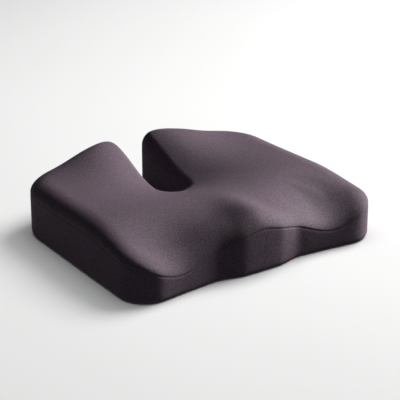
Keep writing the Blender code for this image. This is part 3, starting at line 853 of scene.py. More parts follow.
@dataclass
class RelaxedCover:
    """Cloth relaxation of the cover over its foam, kept as a relief over the design's surface.

    The cloth is held at the foot and at the seam and lightly everywhere else, as foam holds a
    cover, and is blown out a little. No point may move further than `reach`.
    """

    cushion: Cushion
    coarse: int = 2
    rows: int = 13
    pressure: float = 4.0
    frames: int = 20
    reach: float = 3.5 * MM
    held: tuple[float, float] = (0.10, 0.45)
    patch_size: float = 70.0 * MM
    wave_count: int = 6
    seed: int = 7
    zip_margin: tuple[float, float] = (10.0 * MM, 30.0 * MM)

    def run(self) -> None:
        """Relax the cloth and hand its relief to the cushion."""
        plan = self.cushion.plan
        columns = np.arange(0, plan.columns, self.coarse)
        stations = np.linspace(1.0, 3.0, self.rows)
        long_count = plan.long_columns // self.coarse
        short_count = plan.short_columns // self.coarse
        column_grid, station_grid = np.meshgrid(columns, stations)
        wall = self.cushion.section(column_grid, station_grid)
        patch = self.cushion.patch(0.0, long_count, short_count)
        index = np.arange(wall[..., 0].size).reshape(wall.shape[:2])
        whole = patch_index(index[-1], index.size, long_count, short_count)
        points = np.concatenate([wall.reshape(-1, 3), patch[1:-1, 1:-1].reshape(-1, 3)])
        faces = np.concatenate([grid_quads(index, True), patch_quads(whole)])
        cloth = make_mesh("relaxing_cloth", points, faces)
        self._hold(cloth, points, index)
        moved = self._simulate(cloth, len(points)) - points
        bpy.data.objects.remove(cloth)
        far = np.linalg.norm(moved, axis=1, keepdims=True)
        moved *= self.reach * np.tanh(far / self.reach) / np.maximum(far, 1e-9)
        moved *= self._away_from_zip(points)[:, None]
        self.cushion.relief = moved[index]
        self.cushion.relief_stations = stations
        self.cushion.patch_relief = moved[whole]
        LOG.info("cover relaxed, furthest point moved %.1f mm", 1000 * float(far.max()))

    def _away_from_zip(self, points: Array) -> Array:
        """Share of the relief kept: none on the stiff zip, all of it past the margin."""
        low, high = (np.array(corner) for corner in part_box("zip_strip_lower"))
        beside = np.maximum(low[1] - points[:, 1], points[:, 1] - high[1])
        inside = low[0] - points[:, 0]
        return ease(*self.zip_margin, np.maximum(beside, inside))

    def _hold(self, cloth: bpy.types.Object, points: Array, index: Array) -> None:
        """Pin weights: whole at the foot and seam, and a slow random field elsewhere.

        The field is the mean of a few plane waves in fixed random directions, scaled into `held`.
        """
        chance = np.random.default_rng(self.seed)
        waves = chance.normal(size=(self.wave_count, 3)) / self.patch_size
        phases = chance.uniform(0, math.tau, self.wave_count)
        field_value = np.sin(points @ waves.T + phases).sum(axis=1) / self.wave_count
        low, high = self.held
        weights = low + (high - low) * (0.5 + 0.5 * field_value)
        weights[index[0]] = 1.0
        seam_row = (self.rows - 1) // 2
        weights[index[seam_row]] = 1.0
        group = cloth.vertex_groups.new(name="held")
        steps = np.round(weights, 2)
        for level in np.unique(steps):
            group.add(np.flatnonzero(steps == level).tolist(), float(level), "REPLACE")

    def _simulate(self, cloth: bpy.types.Object, count: int) -> Array:
        """Run Blender's cloth on a coarse skin.

        Args:
            cloth: The skin, with its vertex group of held points.
            count: Number of its points.

        Returns:
            Its points at the last frame.
        """
        step = cloth.modifiers.new("cloth", "CLOTH")
        settings = step.settings
        settings.quality = 5
        settings.mass = 0.3
        settings.tension_stiffness = 25.0
        settings.compression_stiffness = 10.0
        settings.shear_stiffness = 8.0
        settings.bending_stiffness = 1.5
        settings.use_pressure = True
        settings.uniform_pressure_force = self.pressure
        settings.vertex_group_mass = "held"
        settings.pin_stiffness = 1.0
        settings.effector_weights.gravity = 0.0
        step.point_cache.frame_start = 1
        step.point_cache.frame_end = self.frames
        step.collision_settings.use_collision = False
        scene = bpy.context.scene
        for number in range(1, self.frames + 1):
            scene.frame_set(number)
        shaped = cloth.evaluated_get(bpy.context.evaluated_depsgraph_get())
        flat = np.empty(count * 3, np.float32)
        shaped.data.vertices.foreach_get("co", flat)
        scene.frame_set(1)
        return flat.reshape(-1, 3).astype(float)


# ---------------------------------------------------------------- swept bars and plates


def triangles(quads: Array) -> Array:
    """Quads cut into triangles."""
    return np.concatenate([quads[:, [0, 1, 2]], quads[:, [0, 2, 3]]])


def sweep(section: Array, centres: Array, side: Array, up: Array) -> tuple[Array, Array]:
    """Carry a section along a path and close both ends with fans.

    A point is its centre + section x side + section y times up.

    Args:
        section: Outline of the bar, anticlockwise seen from the path's end, (k, 2).
        centres: Points of the path, (n, 3).
        side: Unit vectors of the section's first axis, (n, 3), or one for all, (1, 3).
        up: Unit vectors of its second axis, in the same form.

    Returns:
        Points and triangles.
    """
    rings = centres[:, None] + section[None, :, :1] * side[:, None] + section[None, :, 1:] * up[:, None]
    count, around = rings.shape[:2]
    index = np.arange(count * around).reshape(count, around)
    faces = triangles(grid_quads(index, True))
    ends = np.stack([centres[0], centres[-1]])
    first, last = count * around, count * around + 1
    low, high = index[0], index[-1]
    start = np.stack([np.roll(low, -1), low, np.full(around, first)], axis=1)
    stop = np.stack([high, np.roll(high, -1), np.full(around, last)], axis=1)
    return np.concatenate([rings.reshape(-1, 3), ends]), np.concatenate([faces, start, stop])


def rounded_box(width: float, height: float, radius: float, steps: int = 3) -> Array:
    """Rectangle with round corners, anticlockwise from the lower right."""
    angles = np.linspace(0.0, math.pi / 2, steps + 1)
    corners = []
    for turn, (x, y) in enumerate(((1, -1), (1, 1), (-1, 1), (-1, -1))):
        spin = angles + (turn - 1) * math.pi / 2
        centre = np.array([x * (width / 2 - radius), y * (height / 2 - radius)])
        corners.append(centre + radius * np.stack([np.cos(spin), np.sin(spin)], axis=1))
    return np.concatenate(corners)


def plate(loops: Sequence[Array], low: float, high: float, edge: float) -> tuple[Array, Array]:
    """Flat plate with rounded rims and any number of holes.

    Each loop's rim is a half circle of `edge` radius at both faces, joined by a straight wall.

    Args:
        loops: The outline, anticlockwise, then the holes, clockwise, each (k, 2).
        low: Level of the lower face.
        high: Level of the upper face.
        edge: Radius of the rims.

    Returns:
        Points and triangles.
    """
    turns = np.linspace(0.0, math.pi / 2, 4)
    insets = edge * (1 - np.sin(turns))
    levels = np.concatenate([low + edge * (1 - np.cos(turns)), high - edge * (1 - np.cos(turns[::-1]))])
    insets = np.concatenate([insets, insets[::-1]])
    points, faces, upper, lower = [], [], [], []
    total = 0
    for loop in loops:
        ahead = np.roll(loop, -1, axis=0) - np.roll(loop, 1, axis=0)
        inward = unit(np.stack([-ahead[:, 1], ahead[:, 0]], axis=1))
        places = loop[None] + insets[:, None, None] * inward[None]
        heights = np.broadcast_to(levels[:, None, None], places.shape[:2] + (1,))
        index = total + np.arange(places[..., 0].size).reshape(places.shape[:2])
        points.append(np.concatenate([places, heights], axis=-1).reshape(-1, 3))
        faces.append(triangles(grid_quads(index, True)))
        lower.append((places[0], index[0]))
        upper.append((places[-1], index[-1]))
        total += index.size
    for rims, flip in ((upper, False), (lower, True)):
        flat = [[Vector((x, y, 0.0)) for x, y in places] for places, _ in rims]
        order = np.concatenate([index for _, index in rims])
        spots = np.concatenate([places for places, _ in rims])
        cap = np.array(geometry.tessellate_polygon(flat))
        a, b, c = (spots[cap[:, i]] for i in range(3))
        turned = (b[:, 0] - a[:, 0]) * (c[:, 1] - a[:, 1]) < (b[:, 1] - a[:, 1]) * (c[:, 0] - a[:, 0])
        cap[turned] = cap[turned][:, ::-1]
        faces.append(order[cap[:, ::-1] if flip else cap])
    return np.concatenate(points), np.concatenate(faces)


def join_parts(parts: Sequence[tuple[Array, Array]]) -> tuple[Array, Array]:
    """Put several closed shells into one mesh."""
    starts = np.cumsum([0] + [len(points) for points, _ in parts])
    faces = [faces + start for (_, faces), start in zip(parts, starts)]
    return np.concatenate([points for points, _ in parts]), np.concatenate(faces)


def repeat_shape(points: Array, faces: Array, places: Array, frames: Array) -> tuple[Array, Array]:
    """Copies of a small shape, each turned into its own frame.

    Args:
        points: Points of the shape, (k, 3).
        faces: Its faces.
        places: Places of the copies, (n, 3).
        frames: Their axes as rows, (n, 3, 3).

    Returns:
        Points and faces of all copies.
    """
    moved = places[:, None] + np.einsum("kj,njc->nkc", points, frames)
    shift = (np.arange(len(places)) * len(points))[:, None, None]
    return moved.reshape(-1, 3), (faces[None] + shift).reshape(-1, faces.shape[1])


def plate_outline(run: Array, half: Array) -> Array:
    """Outline of a plate, anticlockwise, from its half width at places along X."""
    return np.concatenate([np.stack([run, -half], axis=1), np.stack([run[::-1], half[::-1]], axis=1)])


def end_width(distance: Array, reach: float, least: float) -> Array:
    """Share of a plate's width near an end: `least` at the end, then a quarter circle up to 1."""
    share = np.clip(distance / reach, 0.0, 1.0)
    return least + (1.0 - least) * np.sqrt(1.0 - (1.0 - share) ** 2)


def round_section(radius: float, count: int = 6) -> Array:
    """Section of a thread or a wire, as an even polygon."""
    turns = np.linspace(0.0, math.tau, count, endpoint=False)
    return radius * np.stack([np.cos(turns), np.sin(turns)], axis=1)


def stitch_shape(length: float, radius: float) -> tuple[Array, Array]:
    """One stitch of thread lying along X: a low arch of round thread whose ends dive in.

    The arch is z = radius (0.9 - 1.9 t^4), with t from -1 to 1 along the stitch.
    """
    share = np.linspace(-1.0, 1.0, 6)
    centres = np.stack([share * length / 2, 0 * share, radius * (0.9 - 1.9 * share ** 4)], axis=1)
    return sweep(round_section(radius), centres, ACROSS, UPRIGHT)


# ---------------------------------------------------------------- the sewn cover


@dataclass
class SewnEdges:
    """How the cover is drawn in along its seams.

    The groove is puckered along the seam by waves, each a share, a length and a phase.
    """

    pull: float = 0.8 * MM
    reach: float = 1.5 * MM
    rows: tuple[float, ...] = (0.03, 0.6, 1.2, 2.0, 3.0, 4.5, 7.0)
    waves: tuple[tuple[float, float, float], ...] = ((0.16, 2.7 * MM, 0.0), (0.10, 1.9 * MM, 1.3))

    def distances(self) -> Array:
        """Distances of the rows nearest to a seam, in metres."""
        return np.array(self.rows) * MM

    def draw_in(self, distance: Array, along: Array | float = 0.0) -> Array:
        """Depth of the groove: pull x exp(-(distance / reach)^2), times the pucker."""
        pucker = 1.0
        for share, length, phase in self.waves:
            pucker = pucker + share * np.sin(along / length + phase)
        return self.pull * bell(distance, self.reach) * pucker


@dataclass
class SeatPanel:
    """The panel one sits on: rolls over the edge and ends at the seam round the side."""

    cushion: Cushion
    fabric: bpy.types.Material
    edges: SewnEdges = field(default_factory=SewnEdges)
    thickness: float = COVER_CLOTH
    roll_rows: int = 18
    arc_per_chord: float = 1.1

    def build(self) -> None:
        """Roll rows from the seam up, then the Coons patch, as a closed shell."""
        cushion, plan = self.cushion, self.cushion.plan
        drop = cushion.roll_drop
        near = 2.0 + self.edges.distances() / drop * 2 / math.pi
        stations = np.concatenate([near, np.linspace(near[-1], 3.0, self.roll_rows)[1:]])
        columns, grid = np.meshgrid(np.arange(plan.columns), stations)
        distance = drop * (grid - 2.0) * math.pi / 2
        groove = self.edges.draw_in(distance, plan.length_at(columns))
        outer = cushion.skin(columns, grid, groove)
        inner = cushion.skin(columns, grid, self.thickness)
        index = np.arange(grid.size).reshape(grid.shape)
        counts = (plan.long_columns, plan.short_columns)
        whole = patch_index(index[-1], index.size, *counts)
        faces = np.concatenate([grid_quads(index, True), patch_quads(whole)])
        sheets = [
            np.concatenate([wall.reshape(-1, 3), cushion.seat(depth, *counts)[1:-1, 1:-1].reshape(-1, 3)])
            for wall, depth in ((outer, 0.0), (inner, self.thickness))
        ]
        points, shell = thicken(*sheets, faces)
        cloth = self._unrolled(columns, grid)
        piece = make_mesh("seat_panel", points, shell, np.tile(cloth, (2, 1)))
        settle(piece, Body.CUSHION, Slot.COVER, self.fabric, "top_panel")

    def _unrolled(self, columns: Array, grid: Array) -> Array:
        """Cloth map: the plan, with the roll laid out flat past its inner ring.

        The roll is a quarter of an ellipse, about `arc_per_chord` times as long as its chord.
        """
        cushion, plan = self.cushion, self.cushion.plan
        points, inward = plan.read(columns.astype(float))
        reach = cushion.roll_reach(points)
        roll = (3.0 - grid) * np.hypot(reach, cushion.roll_drop) * self.arc_per_chord
        flat = points + inward * (reach - roll)[..., None]
        middle = cushion.patch(0.0, plan.long_columns, plan.short_columns)[1:-1, 1:-1, :2]
        return np.concatenate([flat.reshape(-1, 2), middle.reshape(-1, 2)])


@dataclass
class SideBand:
    """A length of the side band, from the underside up to the seam.

    A strip beside the zip's window ends there in a folded edge instead: `high` is the height of
    the fold below the window, `low` that of the fold above it.
    """

    name: str
    node: str
    cushion: Cushion
    fabric: bpy.types.Material
    start: float
    stop: float
    low: float | None = None
    high: float | None = None
    edges: SewnEdges = field(default_factory=SewnEdges)
    thickness: float = COVER_CLOTH
    lift: float = 0.5 * MM
    fold: float = 1.6 * MM
    fold_share: float = 0.66
    spacing: float = 3.2 * MM
    foot_rows: int = 6
    wall_rows: int = 9
    fold_rows: int = 7

    def build(self) -> None:
        """Rows from low to high over fine columns, as a closed shell."""
        cushion = self.cushion
        columns, ends = self._columns()
        stations, above, below = self._stations(columns)
        grid_columns = np.broadcast_to(columns, stations.shape)
        groove = np.maximum(above, self.edges.draw_in(ends)[None])
        outer = cushion.skin(grid_columns, stations, groove)
        inner = cushion.skin(grid_columns, stations, self.thickness)
        outer[..., 2] += below
        quads = grid_quads(np.arange(stations.size).reshape(stations.shape), False)
        points, faces = thicken(outer.reshape(-1, 3), inner.reshape(-1, 3), quads)
        along = cushion.plan.length_at(grid_columns)
        rise = np.concatenate([np.zeros((1,) + along.shape[1:]),
                               np.cumsum(np.linalg.norm(np.diff(outer, axis=0), axis=-1), axis=0)])
        cloth = np.stack([along, rise], axis=-1).reshape(-1, 2)
        piece = make_mesh(self.name, points, faces, np.tile(cloth, (2, 1)))
        settle(piece, Body.CUSHION, Slot.COVER, self.fabric, self.node)

    def _columns(self) -> tuple[Array, Array]:
        """Column numbers, close together near both ends, and each one's distance to an end."""
        plan = self.cushion.plan
        first, last = plan.length_at(np.array([self.start, self.stop]))
        near = self.edges.distances()
        count = max(4, int((last - first) / self.spacing))
        middle = np.linspace(first + near[-1], last - near[-1], count)[1:-1]
        lengths = np.concatenate([first + near, middle, last - near[::-1]])
        numbers = plan.columns_of(lengths)
        return numbers, np.minimum(lengths - first, last - lengths)

    def _stations(self, columns: Array) -> tuple[Array, Array, Array]:
        """Stations of every point, its groove, and how far the foot is lifted.

        Returns:
            Stations, groove depths and lifts, rows by columns.
        """
        cushion = self.cushion
        near = self.edges.distances()
        along = cushion.plan.length_at(columns)
        seam = cushion.seam_height(columns)
        if self.high is None:
            top_rows = near[::-1]
            top_height = seam[None] - top_rows[:, None]
            top_groove = self.edges.draw_in(top_rows[:, None], along[None])
        else:
            top_rows = self.fold * np.linspace(1.0, 0.0, self.fold_rows)
            top_height = np.broadcast_to(self.high - top_rows[:, None], (self.fold_rows, len(columns)))
            top_groove = self._folded(top_rows)[:, None] * np.ones(len(columns))
        foot = np.linspace(0.0, 1.0, self.foot_rows + 1)
        if self.low is None:
            low_stations = np.broadcast_to(foot[:, None], (len(foot), len(columns)))
            low_groove = np.zeros(low_stations.shape)
            lift = self.lift * (1.0 - low_stations)
            bottom = np.full(len(columns), cushion.foot_radius)
        else:
            low_rows = self.fold * np.linspace(0.0, 1.0, self.fold_rows)
            bottom = np.full(len(columns), self.low + self.fold)
            heights = np.broadcast_to(self.low + low_rows[:, None], (self.fold_rows, len(columns)))
            low_stations = cushion.wall_station(columns[None], heights)
            low_groove = self._folded(low_rows)[:, None] * np.ones(len(columns))
            lift = np.zeros(low_stations.shape)
        share = np.linspace(0.0, 1.0, self.wall_rows + 1)[1:-1, None]
        heights = bottom[None] * (1 - share) + top_height[:1] * share
        middle = cushion.wall_station(columns[None], heights)
        top = cushion.wall_station(columns[None], top_height)
        stations = np.concatenate([low_stations, middle, top])
        flat = np.zeros((len(middle), len(columns)))
        groove = np.concatenate([low_groove, flat, top_groove])
        return stations, groove, np.concatenate([lift, flat, np.zeros(top.shape)])

    def _folded(self, distance: Array) -> Array:
        """Depth of a folded edge, a quarter circle as deep as a share of the cloth."""
        share = np.clip(1.0 - distance / self.fold, 0.0, 1.0)
        return self.fold_share * self.thickness * (1.0 - np.sqrt(1.0 - share ** 2))


@dataclass
class Underside:
    """The anti-slip panel and its printed silicone dots."""

    cushion: Cushion
    fabric: bpy.types.Material
    rubber: bpy.types.Material
    thickness: float = 1.3 * MM
    stand: float = 0.5 * MM
    gap: float = 0.3 * MM
    dot_pitch: float = 9.0 * MM
    dot_radius: float = 1.9 * MM
    dot_sides: int = 8
    dot_shoulder: float = 0.62
    dot_root: float = 0.3
    margin: float = 0.0180
    rim_rings: int = 5
    rim_share: float = 0.8

    def build(self) -> None:
        """Build the panel and the dots."""
        self._panel()
        self._dots()

    def _panel(self) -> None:
        """Rings that round the edge, then a flat patch, as a closed shell."""
        cushion, plan = self.cushion, self.cushion.plan
        turns = np.linspace(0.0, math.pi / 2, self.rim_rings)
        insets = cushion.foot_radius + self.gap + self.thickness * (1 - np.cos(turns))
        levels = self.stand + self.rim_share * self.thickness * (1 - np.sin(turns))
        columns = np.arange(plan.columns)
        points, inward = plan.read(columns.astype(float))
        rings = points[None] + insets[:, None, None] * inward[None]
        heights = np.broadcast_to(levels[:, None, None], rings.shape[:2] + (1,))
        rings = np.concatenate([rings, heights], axis=-1)
        counts = (plan.long_columns, plan.short_columns)
        middle = cushion.patch(0.0, *counts, flat=self.stand, rim=float(insets[-1]))
        middle = middle[1:-1, 1:-1].reshape(-1, 3)
        index = np.arange(rings[..., 0].size).reshape(rings.shape[:2])
        whole = patch_index(index[-1], index.size, *counts)
        faces = np.concatenate([grid_quads(index, True), patch_quads(whole)])[:, ::-1]
        lower = np.concatenate([rings.reshape(-1, 3), middle])
        upper = lower.copy()
        upper[:, 2] = self.stand + self.thickness
        points, shell = thicken(lower, upper, faces)
        piece = make_mesh("underside_panel", points, shell, points[:, :2])
        settle(piece, Body.CUSHION, Slot.GRIP, self.fabric, "bottom_panel")

    def _dots(self) -> None:
        """Low domes on a staggered grid, kept clear of the edge, with their roots in the panel.

        A dome hangs down by stand x (1 - r^2), r being the share of its radius.
        """
        plan = self.cushion.plan
        low, high = plan.box()
        rows = np.arange(low[1], high[1], self.dot_pitch * math.sqrt(0.75))
        across = np.arange(low[0], high[0], self.dot_pitch)
        x, y = np.meshgrid(across, rows)
        x = x + 0.5 * self.dot_pitch * (np.arange(len(rows)) % 2)[:, None]
        places = np.stack([x.ravel(), y.ravel()], axis=1)
        places = places[plan.holds(places, self.margin)]
        sides = self.dot_sides
        rings = []
        for share in (1.0, self.dot_shoulder):
            drop = np.full((sides, 1), -self.stand * (1 - share ** 2))
            rings.append(np.append(round_section(self.dot_radius * share, sides), drop, axis=1))
        ends = [[0.0, 0.0, -self.stand], [0.0, 0.0, self.dot_root * self.stand]]
        index = np.arange(2 * sides).reshape(2, sides)
        dome = triangles(grid_quads(index, True))[:, ::-1]
        tip = np.stack([np.roll(index[1], -1), index[1], np.full(sides, index.size)], axis=1)
        base = np.stack([index[0], np.roll(index[0], -1), np.full(sides, index.size + 1)], axis=1)
        level = np.full((len(places), 1), self.stand)
        frames = np.broadcast_to(np.eye(3), (len(places), 3, 3))
        points, faces = np.concatenate([*rings, ends]), np.concatenate([dome, tip, base])
        points, faces = repeat_shape(points, faces, np.append(places, level, 1), frames)
        piece = make_mesh("grip_dots", points, faces)
        settle(piece, Body.CUSHION, Slot.GRIP, self.rubber)


@dataclass
class FoamAndLiner:
    """The moulded foam block and the knitted sock that keeps it together inside the cover."""

    cushion: Cushion
    foam: bpy.types.Material
    knit: bpy.types.Material
    slit: tuple[float, float]
    foam_depth: float = 3.2 * MM
    liner_depth: float = 2.1 * MM
    liner: float = 0.8 * MM
    slit_side: float = 0.2000
    cut: tuple[float, float] = (0.9000, 0.4600)
    coarse: int = 2
    rows: int = 26

    def build(self) -> bpy.types.Object:
        """Build the block as one closed surface and the liner as a shell with a slit.

        Returns:
            The block.
        """
        points, faces, _ = self._surface(self.foam_depth)
        block = make_mesh("foam_block", points, faces)
        settle(block, Body.CUSHION, Slot.FOAM, self.foam, "foam_core")
        outer, faces, cloth = self._surface(self.liner_depth)
        inner, _, _ = self._surface(self.liner_depth + self.liner)
        points, faces = thicken(outer, inner, self._opened(outer, faces))
        sock = make_mesh("foam_liner", points, faces, np.tile(cloth, (2, 1)))
        settle(sock, Body.CUSHION, Slot.LINER, self.knit, "inner_liner")
        return block

    def _surface(self, depth: float) -> tuple[Array, Array, Array]:
        """Closed surface of a layer: foot, wall, roll, seat patch and flat underside.

        Returns:
            Points, quads and cloth map.
        """
        cushion, plan = self.cushion, self.cushion.plan
        stations = np.linspace(0.0, 3.0, self.rows)
        columns, grid = np.meshgrid(np.arange(0, plan.columns, self.coarse), stations)
        wall = cushion.skin(columns, grid, depth)
        counts = (plan.long_columns // self.coarse, plan.short_columns // self.coarse)
        seat = cushion.seat(depth, *counts)[1:-1, 1:-1].reshape(-1, 3)
        flat = cushion.patch(0.0, *counts, flat=depth, rim=cushion.foot_radius)[1:-1, 1:-1].reshape(-1, 3)
        index = np.arange(grid.size).reshape(grid.shape)
        above = patch_index(index[-1], index.size, *counts)
        under = patch_index(index[0], index.size + len(seat), *counts)
        faces = np.concatenate([grid_quads(index, True), patch_quads(above), patch_quads(under)[:, ::-1]])
        points = np.concatenate([wall.reshape(-1, 3), seat, flat])
        rise = np.where(grid < 3.0, wall[..., 2], 0.0)
        side = np.stack([plan.length_at(columns), rise], axis=-1).reshape(-1, 2)
        return points, faces, np.concatenate([side, seat[:, :2], flat[:, :2]])

    def _opened(self, points: Array, faces: Array) -> Array:
        """Quads without those in the slit behind the zip, in the wall right of `slit_side`."""
        middle = points[faces].mean(axis=1)
        low, high = ZIP_WINDOW
        front, rear = self.slit
        within = (middle[:, 0] > self.slit_side) & (middle[:, 1] > front) & (middle[:, 1] < rear)
        return faces[~(within & (middle[:, 2] > low) & (middle[:, 2] < high))]


# ---------------------------------------------------------------- the zip and the label


def joint(name: str) -> dict:
    """A joint of the record, by its name."""
    return next(item for item in frame["joints"] if item["name"] == name)


def box_middle(node: str) -> Array:
    """Middle of a CAD node's box."""
    low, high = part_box(node)
    return (np.array(low) + np.array(high)) / 2


@dataclass
class WallFrame:
    """A flat place on the wall: X along it to the rear, Y up and Z straight out."""

    origin: Array
    along: Array

    @property
    def axes(self) -> Array:
        """The three axes as rows."""
        up = np.array([0.0, 0.0, 1.0])
        return np.stack([self.along, up, np.cross(self.along, up)])

    def put(self, points: Array) -> Array:
        """Points of the frame, in the cushion's own axes."""
        return self.origin + points @ self.axes

    def moved(self, along: float, out: float = 0.0) -> "WallFrame":
        """The same frame further along the wall or out from it."""
        return WallFrame(self.put(np.array([along, 0.0, out])), self.along)

    @classmethod
    def of_zip(cls) -> "WallFrame":
        """The zip's frame, from the box of one row of its chain and its two joints."""
        middle = box_middle("zip_chain_upper")
        middle[2] = joint("pull_hinge")["pos_m"][2]
        return cls(middle, -np.array(joint("zip_slide")["axis"]))


@dataclass
class ZipTape:
    """One tape of the zip, with the corded edge that carries the coil."""

    side: Side
    place: WallFrame
    length: float
    finish: bpy.types.Material
    inner: float = 1.0 * MM
    outer: float = 4.7 * MM
    level: float = -1.45 * MM
    thickness: float = 0.5 * MM
    corner: float = 0.45
    cord: float = 0.10 * MM
    cord_reach: float = 0.8 * MM
    steps: int = 60

    def build(self) -> None:
        """Sweep the tape's section, a flat bar a little thicker at its corded edge."""
        width = self.outer - self.inner
        mirror = self.side.value
        section = rounded_box(width, self.thickness, self.corner * self.thickness)
        section[:, 1] *= 1.0 + self.cord / self.thickness * bell(section[:, 0] + width / 2, self.cord_reach)
        run = np.linspace(-self.length / 2, self.length / 2, self.steps)
        middle = np.full(self.steps, mirror * (self.inner + self.outer) / 2)
        centres = np.stack([run, middle, np.full(self.steps, self.level)], axis=1)
        points, faces = sweep(section, centres, mirror * ACROSS, mirror * UPRIGHT)
        node = f"zip_tape_{self.side.name.lower()}"
        piece = make_mesh(f"{node}_woven", self.place.put(points), faces, points[:, :2])
        settle(piece, Body.CUSHION, Slot.TAPE, self.finish, node)


@dataclass
class ZipCoil:
    """One nylon coil: monofilament wound into flat loops whose heads reach past the middle."""

    side: Side
    place: WallFrame
    length: float
    finish: bpy.types.Material
    pitch: float = 1.25 * MM
    wire: float = 0.27 * MM
    head: float = -0.30 * MM
    heel: float = 3.20 * MM
    height: float = 1.80 * MM
    flatness: float = 0.8
    offset: float = 0.25
    steps: int = 10

    def build(self) -> None:
        """Sweep the wire along a flattened helix.

        Turning angle t gives x = pitch t / 2 pi, y = middle + reach cos t, z = rise sin t, with
        |sin t| raised to `flatness` for a flatter top. Each coil is moved by `offset` pitches,
        the upper one ahead and the lower one back, so that their loops alternate.
        """
        turns = int(self.length / self.pitch) - 1
        angle = np.linspace(0.0, turns * math.tau, turns * self.steps + 1)
        reach = (self.heel - self.head) / 2 - self.wire
        rise = self.height / 2 - self.wire
        middle = (self.heel + self.head) / 2
        sine = np.sin(angle)
        start = -turns * self.pitch / 2 + self.side.value * self.offset * self.pitch
        centres = np.stack([
            start + self.pitch * angle / math.tau,
            self.side.value * (middle + reach * np.cos(angle)),
            rise * np.sign(sine) * np.abs(sine) ** self.flatness,
        ], axis=1)
        ahead = unit(np.gradient(centres, axis=0))
        out = unit(np.stack([0 * angle, self.side.value * np.cos(angle) / reach, sine / rise], axis=1))
        side = unit(np.cross(out, ahead))
        points, faces = sweep(round_section(self.wire), centres, side, np.cross(ahead, side))
        piece = make_mesh(f"zip_coil_{self.side.name.lower()}", self.place.put(points), faces)
        settle(piece, Body.CUSHION, Slot.COIL, self.finish, f"zip_chain_{self.side.name.lower()}")


@dataclass
class ZipSlider:
    """Slider: two plates with side flanges, a neck between them and an arched bridge."""

    place: WallFrame
    finish: bpy.types.Material
    length: float = 13.0 * MM
    half_width: float = 4.3 * MM
    tail_width: float = 3.9 * MM
    top: float = 1.2 * MM
    back: float = -2.0 * MM
    plate: float = 1.0 * MM
    top_rim: float = 0.42 * MM
    back_rim: float = 0.30 * MM
    back_share: float = 0.97
    widening: tuple[float, float] = (-0.2, 0.5)
    end_reach: float = 1.6 * MM
    end_share: float = 0.58
    flange: float = 0.8 * MM
    flange_low: float = -0.9 * MM
    flange_corner: float = 0.25 * MM
    flange_bow: float = 0.4
    flange_steps: int = 12
    neck: tuple[float, float] = (3.0 * MM, 1.0 * MM)
    neck_inset: float = 2.5 * MM
    neck_corner: float = 0.35 * MM
    neck_rim: float = 0.05 * MM
    bridge: tuple[float, float] = (7.0 * MM, 1.8 * MM)
    bridge_top: float = 5.2 * MM
    bridge_wall: float = 1.0 * MM
    bridge_corner: float = 0.3 * MM

    def build(self) -> None:
        """Build every part of the casting as closed shells in one mesh.

        The neck, the flanges and the bridge sink about half way into the plates they stand on.
        """
        outline = self._outline()
        neck = rounded_box(*self.neck, self.neck_corner) + [self.length / 2 - self.neck_inset, 0.0]
        half_in = 0.5 * self.plate
        points, faces = join_parts([
            plate([outline], self.top, self.top + self.plate, self.top_rim),
            plate([outline * self.back_share], self.back - self.plate, self.back, self.back_rim),
            plate([neck], self.back - half_in, self.top + half_in, self.neck_rim),
            *(self._flange(side) for side in Side),
            self._bridge(),
        ])
        piece = make_mesh("zip_slider_body", self.place.put(points), faces)
        settle(piece, Body.SLIDER, Slot.METAL, self.finish, "zip_slider")

    def _outline(self) -> Array:
        """Shield: widest at the shoulders that lead, narrower at the tail, both ends rounded."""
        run = np.linspace(-1.0, 1.0, 41)
        x = self.length / 2 * np.sin(run * math.pi / 2)
        width = self.tail_width + (self.half_width - self.tail_width) * ease(*self.widening, run)
        ends = end_width(self.length / 2 - np.abs(x), self.end_reach, self.end_share)
        return plate_outline(x, width * ends)

    def _flange(self, side: Side) -> tuple[Array, Array]:
        """Side wall of the casting over the chain, bowed in a little at the tail."""
        run = np.linspace(-self.length / 2 + self.plate, self.length / 2 - self.plate, self.flange_steps)
        low, high = self.flange_low, self.top + 0.5 * self.plate
        bow = (self.half_width - self.tail_width) * (1 - ease(*self.widening, run / (self.length / 2)))
        middle = side.value * (self.half_width - self.flange / 2 - self.flange_bow * bow)
        centres = np.stack([run, middle, np.full(self.flange_steps, (low + high) / 2)], axis=1)
        return sweep(rounded_box(self.flange, high - low, self.flange_corner), centres, ACROSS, UPRIGHT)

    def _bridge(self) -> tuple[Array, Array]:
        """Arch over the pull's bar: legs joined by a superellipse of power 4, as a swept bar."""
        half = (self.bridge[0] - self.bridge_wall) / 2
        foot = self.top + 0.4 * self.plate
        rise = self.bridge_top - self.bridge_wall / 2 - foot
        turn = np.linspace(math.pi, 0.0, 25)
        sine, cosine = np.sin(turn), np.cos(turn)
        x = half * np.sign(cosine) * np.abs(cosine) ** 0.5
        z = foot + rise * np.abs(sine) ** 0.5
        centres = np.stack([x, 0 * x, z], axis=1)
        up = np.cross(unit(np.gradient(centres, axis=0)), ACROSS)
        section = rounded_box(self.bridge[1], self.bridge_wall, self.bridge_corner)
        return sweep(section, centres, ACROSS, up)


